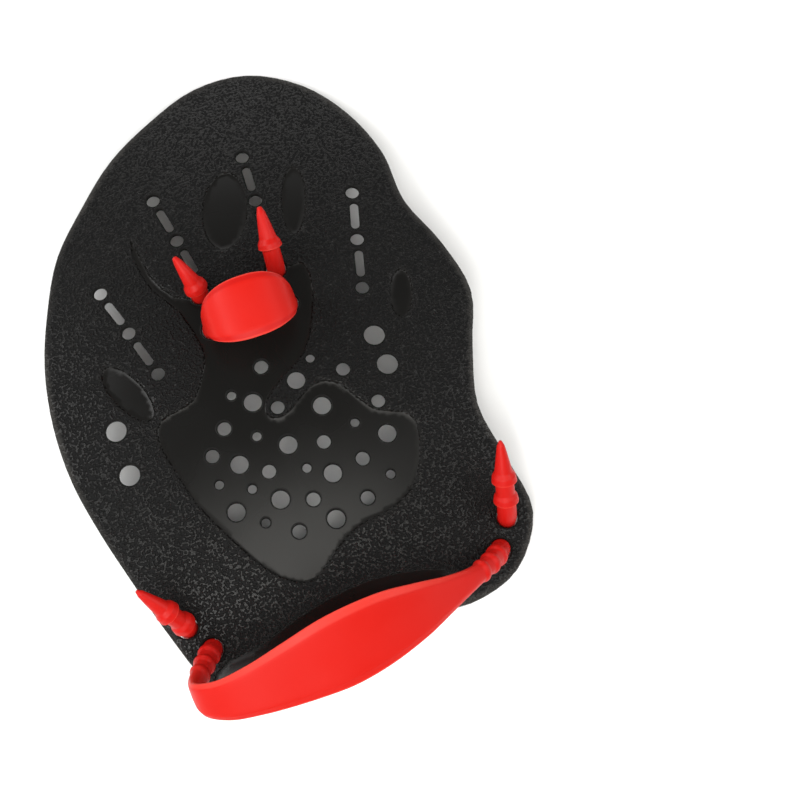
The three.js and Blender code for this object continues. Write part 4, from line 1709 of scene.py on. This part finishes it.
@dataclass(frozen=True)
class Straps:
    """Both straps, placed from the dome's crest."""

    dome: Dome
    finish: SoftSilicone
    crest_across: float = -5.6
    crest_along: float = 1.0

    @property
    def origin(self) -> np.ndarray:
        """The place that the straps' routes are measured from."""
        return np.array(self.dome.crest) - (self.crest_across, self.crest_along)

    def finger(self) -> Strap:
        """Return the finger strap."""
        return Strap(
            name="finger_strap_skin", dome=self.dome, origin=self.origin, finish=self.finish,
            span=31.0, across=0.6, along=17.8, tail_reach=15.0, tail_spread=0.0, cord=7.0,
            rib_pitch=3.5,
            collar=9.4, tail_length=27.0, rise=25.0, slump=3.0, band_width=24.0,
            band_thickness=2.4, band=FINGER_BAND, tail=FINGER_TAIL,
            leans={Side.LEFT: TailLean(-21, 34, -0.65), Side.RIGHT: TailLean(3, 24, 0.3)},
        )

    def wrist(self) -> Strap:
        """Return the wrist strap."""
        return Strap(
            name="wrist_strap_skin", dome=self.dome, origin=self.origin, finish=self.finish,
            span=116.0, across=4.0, along=-96.0, tail_reach=12.6, tail_spread=31.0, cord=7.5,
            collar=9.8, tail_length=38.5, rise=41.0, slump=24.0, band_width=30.5,
            band_thickness=2.6, band=WRIST_BAND, tail=WRIST_TAIL,
            leans={Side.LEFT: TailLean(-39, 37, -0.9), Side.RIGHT: TailLean(11, 41, 0)},
            ribs=3, rib_height=0.7, painted_side_highlight=0.6, painted_bevel_shade=0.0,
        )


class Lamp(Enum):
    """Each soft light: its azimuth and elevation in degrees, and its watts."""

    KEY = (-40.0, 44.0, 14.5)
    SHEEN = (-6.0, 64.0, 12.5)
    RIGHT = (75.0, 40.0, 11.0)
    BACK = (170.0, 24.0, 4.5)
    LEFT = (-110.0, 40.0, 15.5)


@dataclass
class Studio:
    """Pale floor, soft lights and the portrait camera, placed round a point on the paddle.

    The lights stand low round the paddle and the room is dim above it, so the floor is bright and
    the black plate, which mirrors the room above, stays dark.
    """

    focus: Vector = field(default_factory=lambda: Vector((43.48, -28.05, 28.84)) * MM)
    distance: float = 0.9
    azimuth: float = -19.5
    elevation: float = 77.0
    lens: float = 106.6
    sensor: float = 36.0
    room: float = 0.26
    floor_half: float = 3000.0
    lamp_distance: float = 1.5
    lamp_size: float = 0.9
    warm: Color = (1.0, 0.985, 0.93)
    clip_start: float = 0.05

    def build(self) -> None:
        """Set the floor, the lights, the world, the colours' rendering and the camera."""
        bpy.context.scene.view_settings.view_transform = "Standard"
        self._floor()
        self._world()
        for lamp in Lamp:
            self._light(lamp)
        self._camera()

    def _floor(self) -> None:
        """Lay the floor under the paddle."""
        half = self.floor_half
        corners = np.array([(-half, -half, 0), (half, -half, 0), (half, half, 0), (-half, half, 0)])
        floor = plain_mesh("floor", corners, [(0, 1, 2, 3)])
        floor.data.materials.append(PaleFloor().material())

    def _world(self) -> None:
        """Fill the room with even light."""
        world = bpy.data.worlds.new("studio")
        world.use_nodes = True
        background = world.node_tree.nodes["Background"]
        background.inputs["Color"].default_value = (1.0, 1.0, 1.0, 1.0)
        background.inputs["Strength"].default_value = self.room
        bpy.context.scene.world = world

    @staticmethod
    def _direction(azimuth: float, elevation: float) -> Vector:
        """Return the way from the focus to a place at an azimuth and elevation in degrees."""
        around, up = math.radians(azimuth), math.radians(elevation)
        return Vector(
            (math.sin(around) * math.cos(up), -math.cos(around) * math.cos(up), math.sin(up))
        )

    def _light(self, lamp: Lamp) -> None:
        """Add a square soft light that faces the paddle.

        Args:
            lamp: Which light.
        """
        azimuth, elevation, watts = lamp.value
        light = bpy.data.lights.new(lamp.name.lower(), "AREA")
        light.size = self.lamp_size
        light.energy = watts
        if lamp is Lamp.SHEEN:
            light.color = self.warm
        made = bpy.data.objects.new(light.name, light)
        way = self._direction(azimuth, elevation)
        made.location = self.focus + way * self.lamp_distance
        made.rotation_euler = way.to_track_quat("Z", "Y").to_euler()
        bpy.context.scene.collection.objects.link(made)

    def _camera(self) -> None:
        """Set the camera at the portrait's angle and distance."""
        azimuth = math.radians(self.azimuth)
        right = Vector((math.cos(azimuth), math.sin(azimuth), 0.0))
        back = self._direction(self.azimuth, self.elevation)
        camera = bpy.data.cameras.new("portrait")
        camera.lens = self.lens
        camera.sensor_width = self.sensor
        camera.clip_start = self.clip_start
        made = bpy.data.objects.new("portrait", camera)
        turned = Matrix((right, back.cross(right), back)).transposed()
        made.matrix_world = Matrix.Translation(self.focus + back * self.distance) @ turned.to_4x4()
        bpy.context.scene.collection.objects.link(made)
        bpy.context.scene.camera = made


def main() -> None:
    """Build and dress the paddle, then set up the studio."""
    logging.basicConfig(level=logging.INFO, format="%(name)s: %(message)s")
    packed = PackedPlate()
    LOG.info("dome %s, %d holes, %d prints", packed.dome, len(packed.holes), len(packed.prints))
    plate = Plate(packed, GrainedPlastic()).build()
    LOG.info("plate: %d faces", len(plate.data.polygons))
    straps = Straps(packed.dome, SoftSilicone())
    for strap, node in ((straps.finger(), "finger_strap"), (straps.wrist(), "wrist_strap")):
        made = strap.build(node)
        LOG.info("%s: %d faces", made.name, len(made.data.polygons))
    Studio().build()


if __name__ == "__main__":
    main()
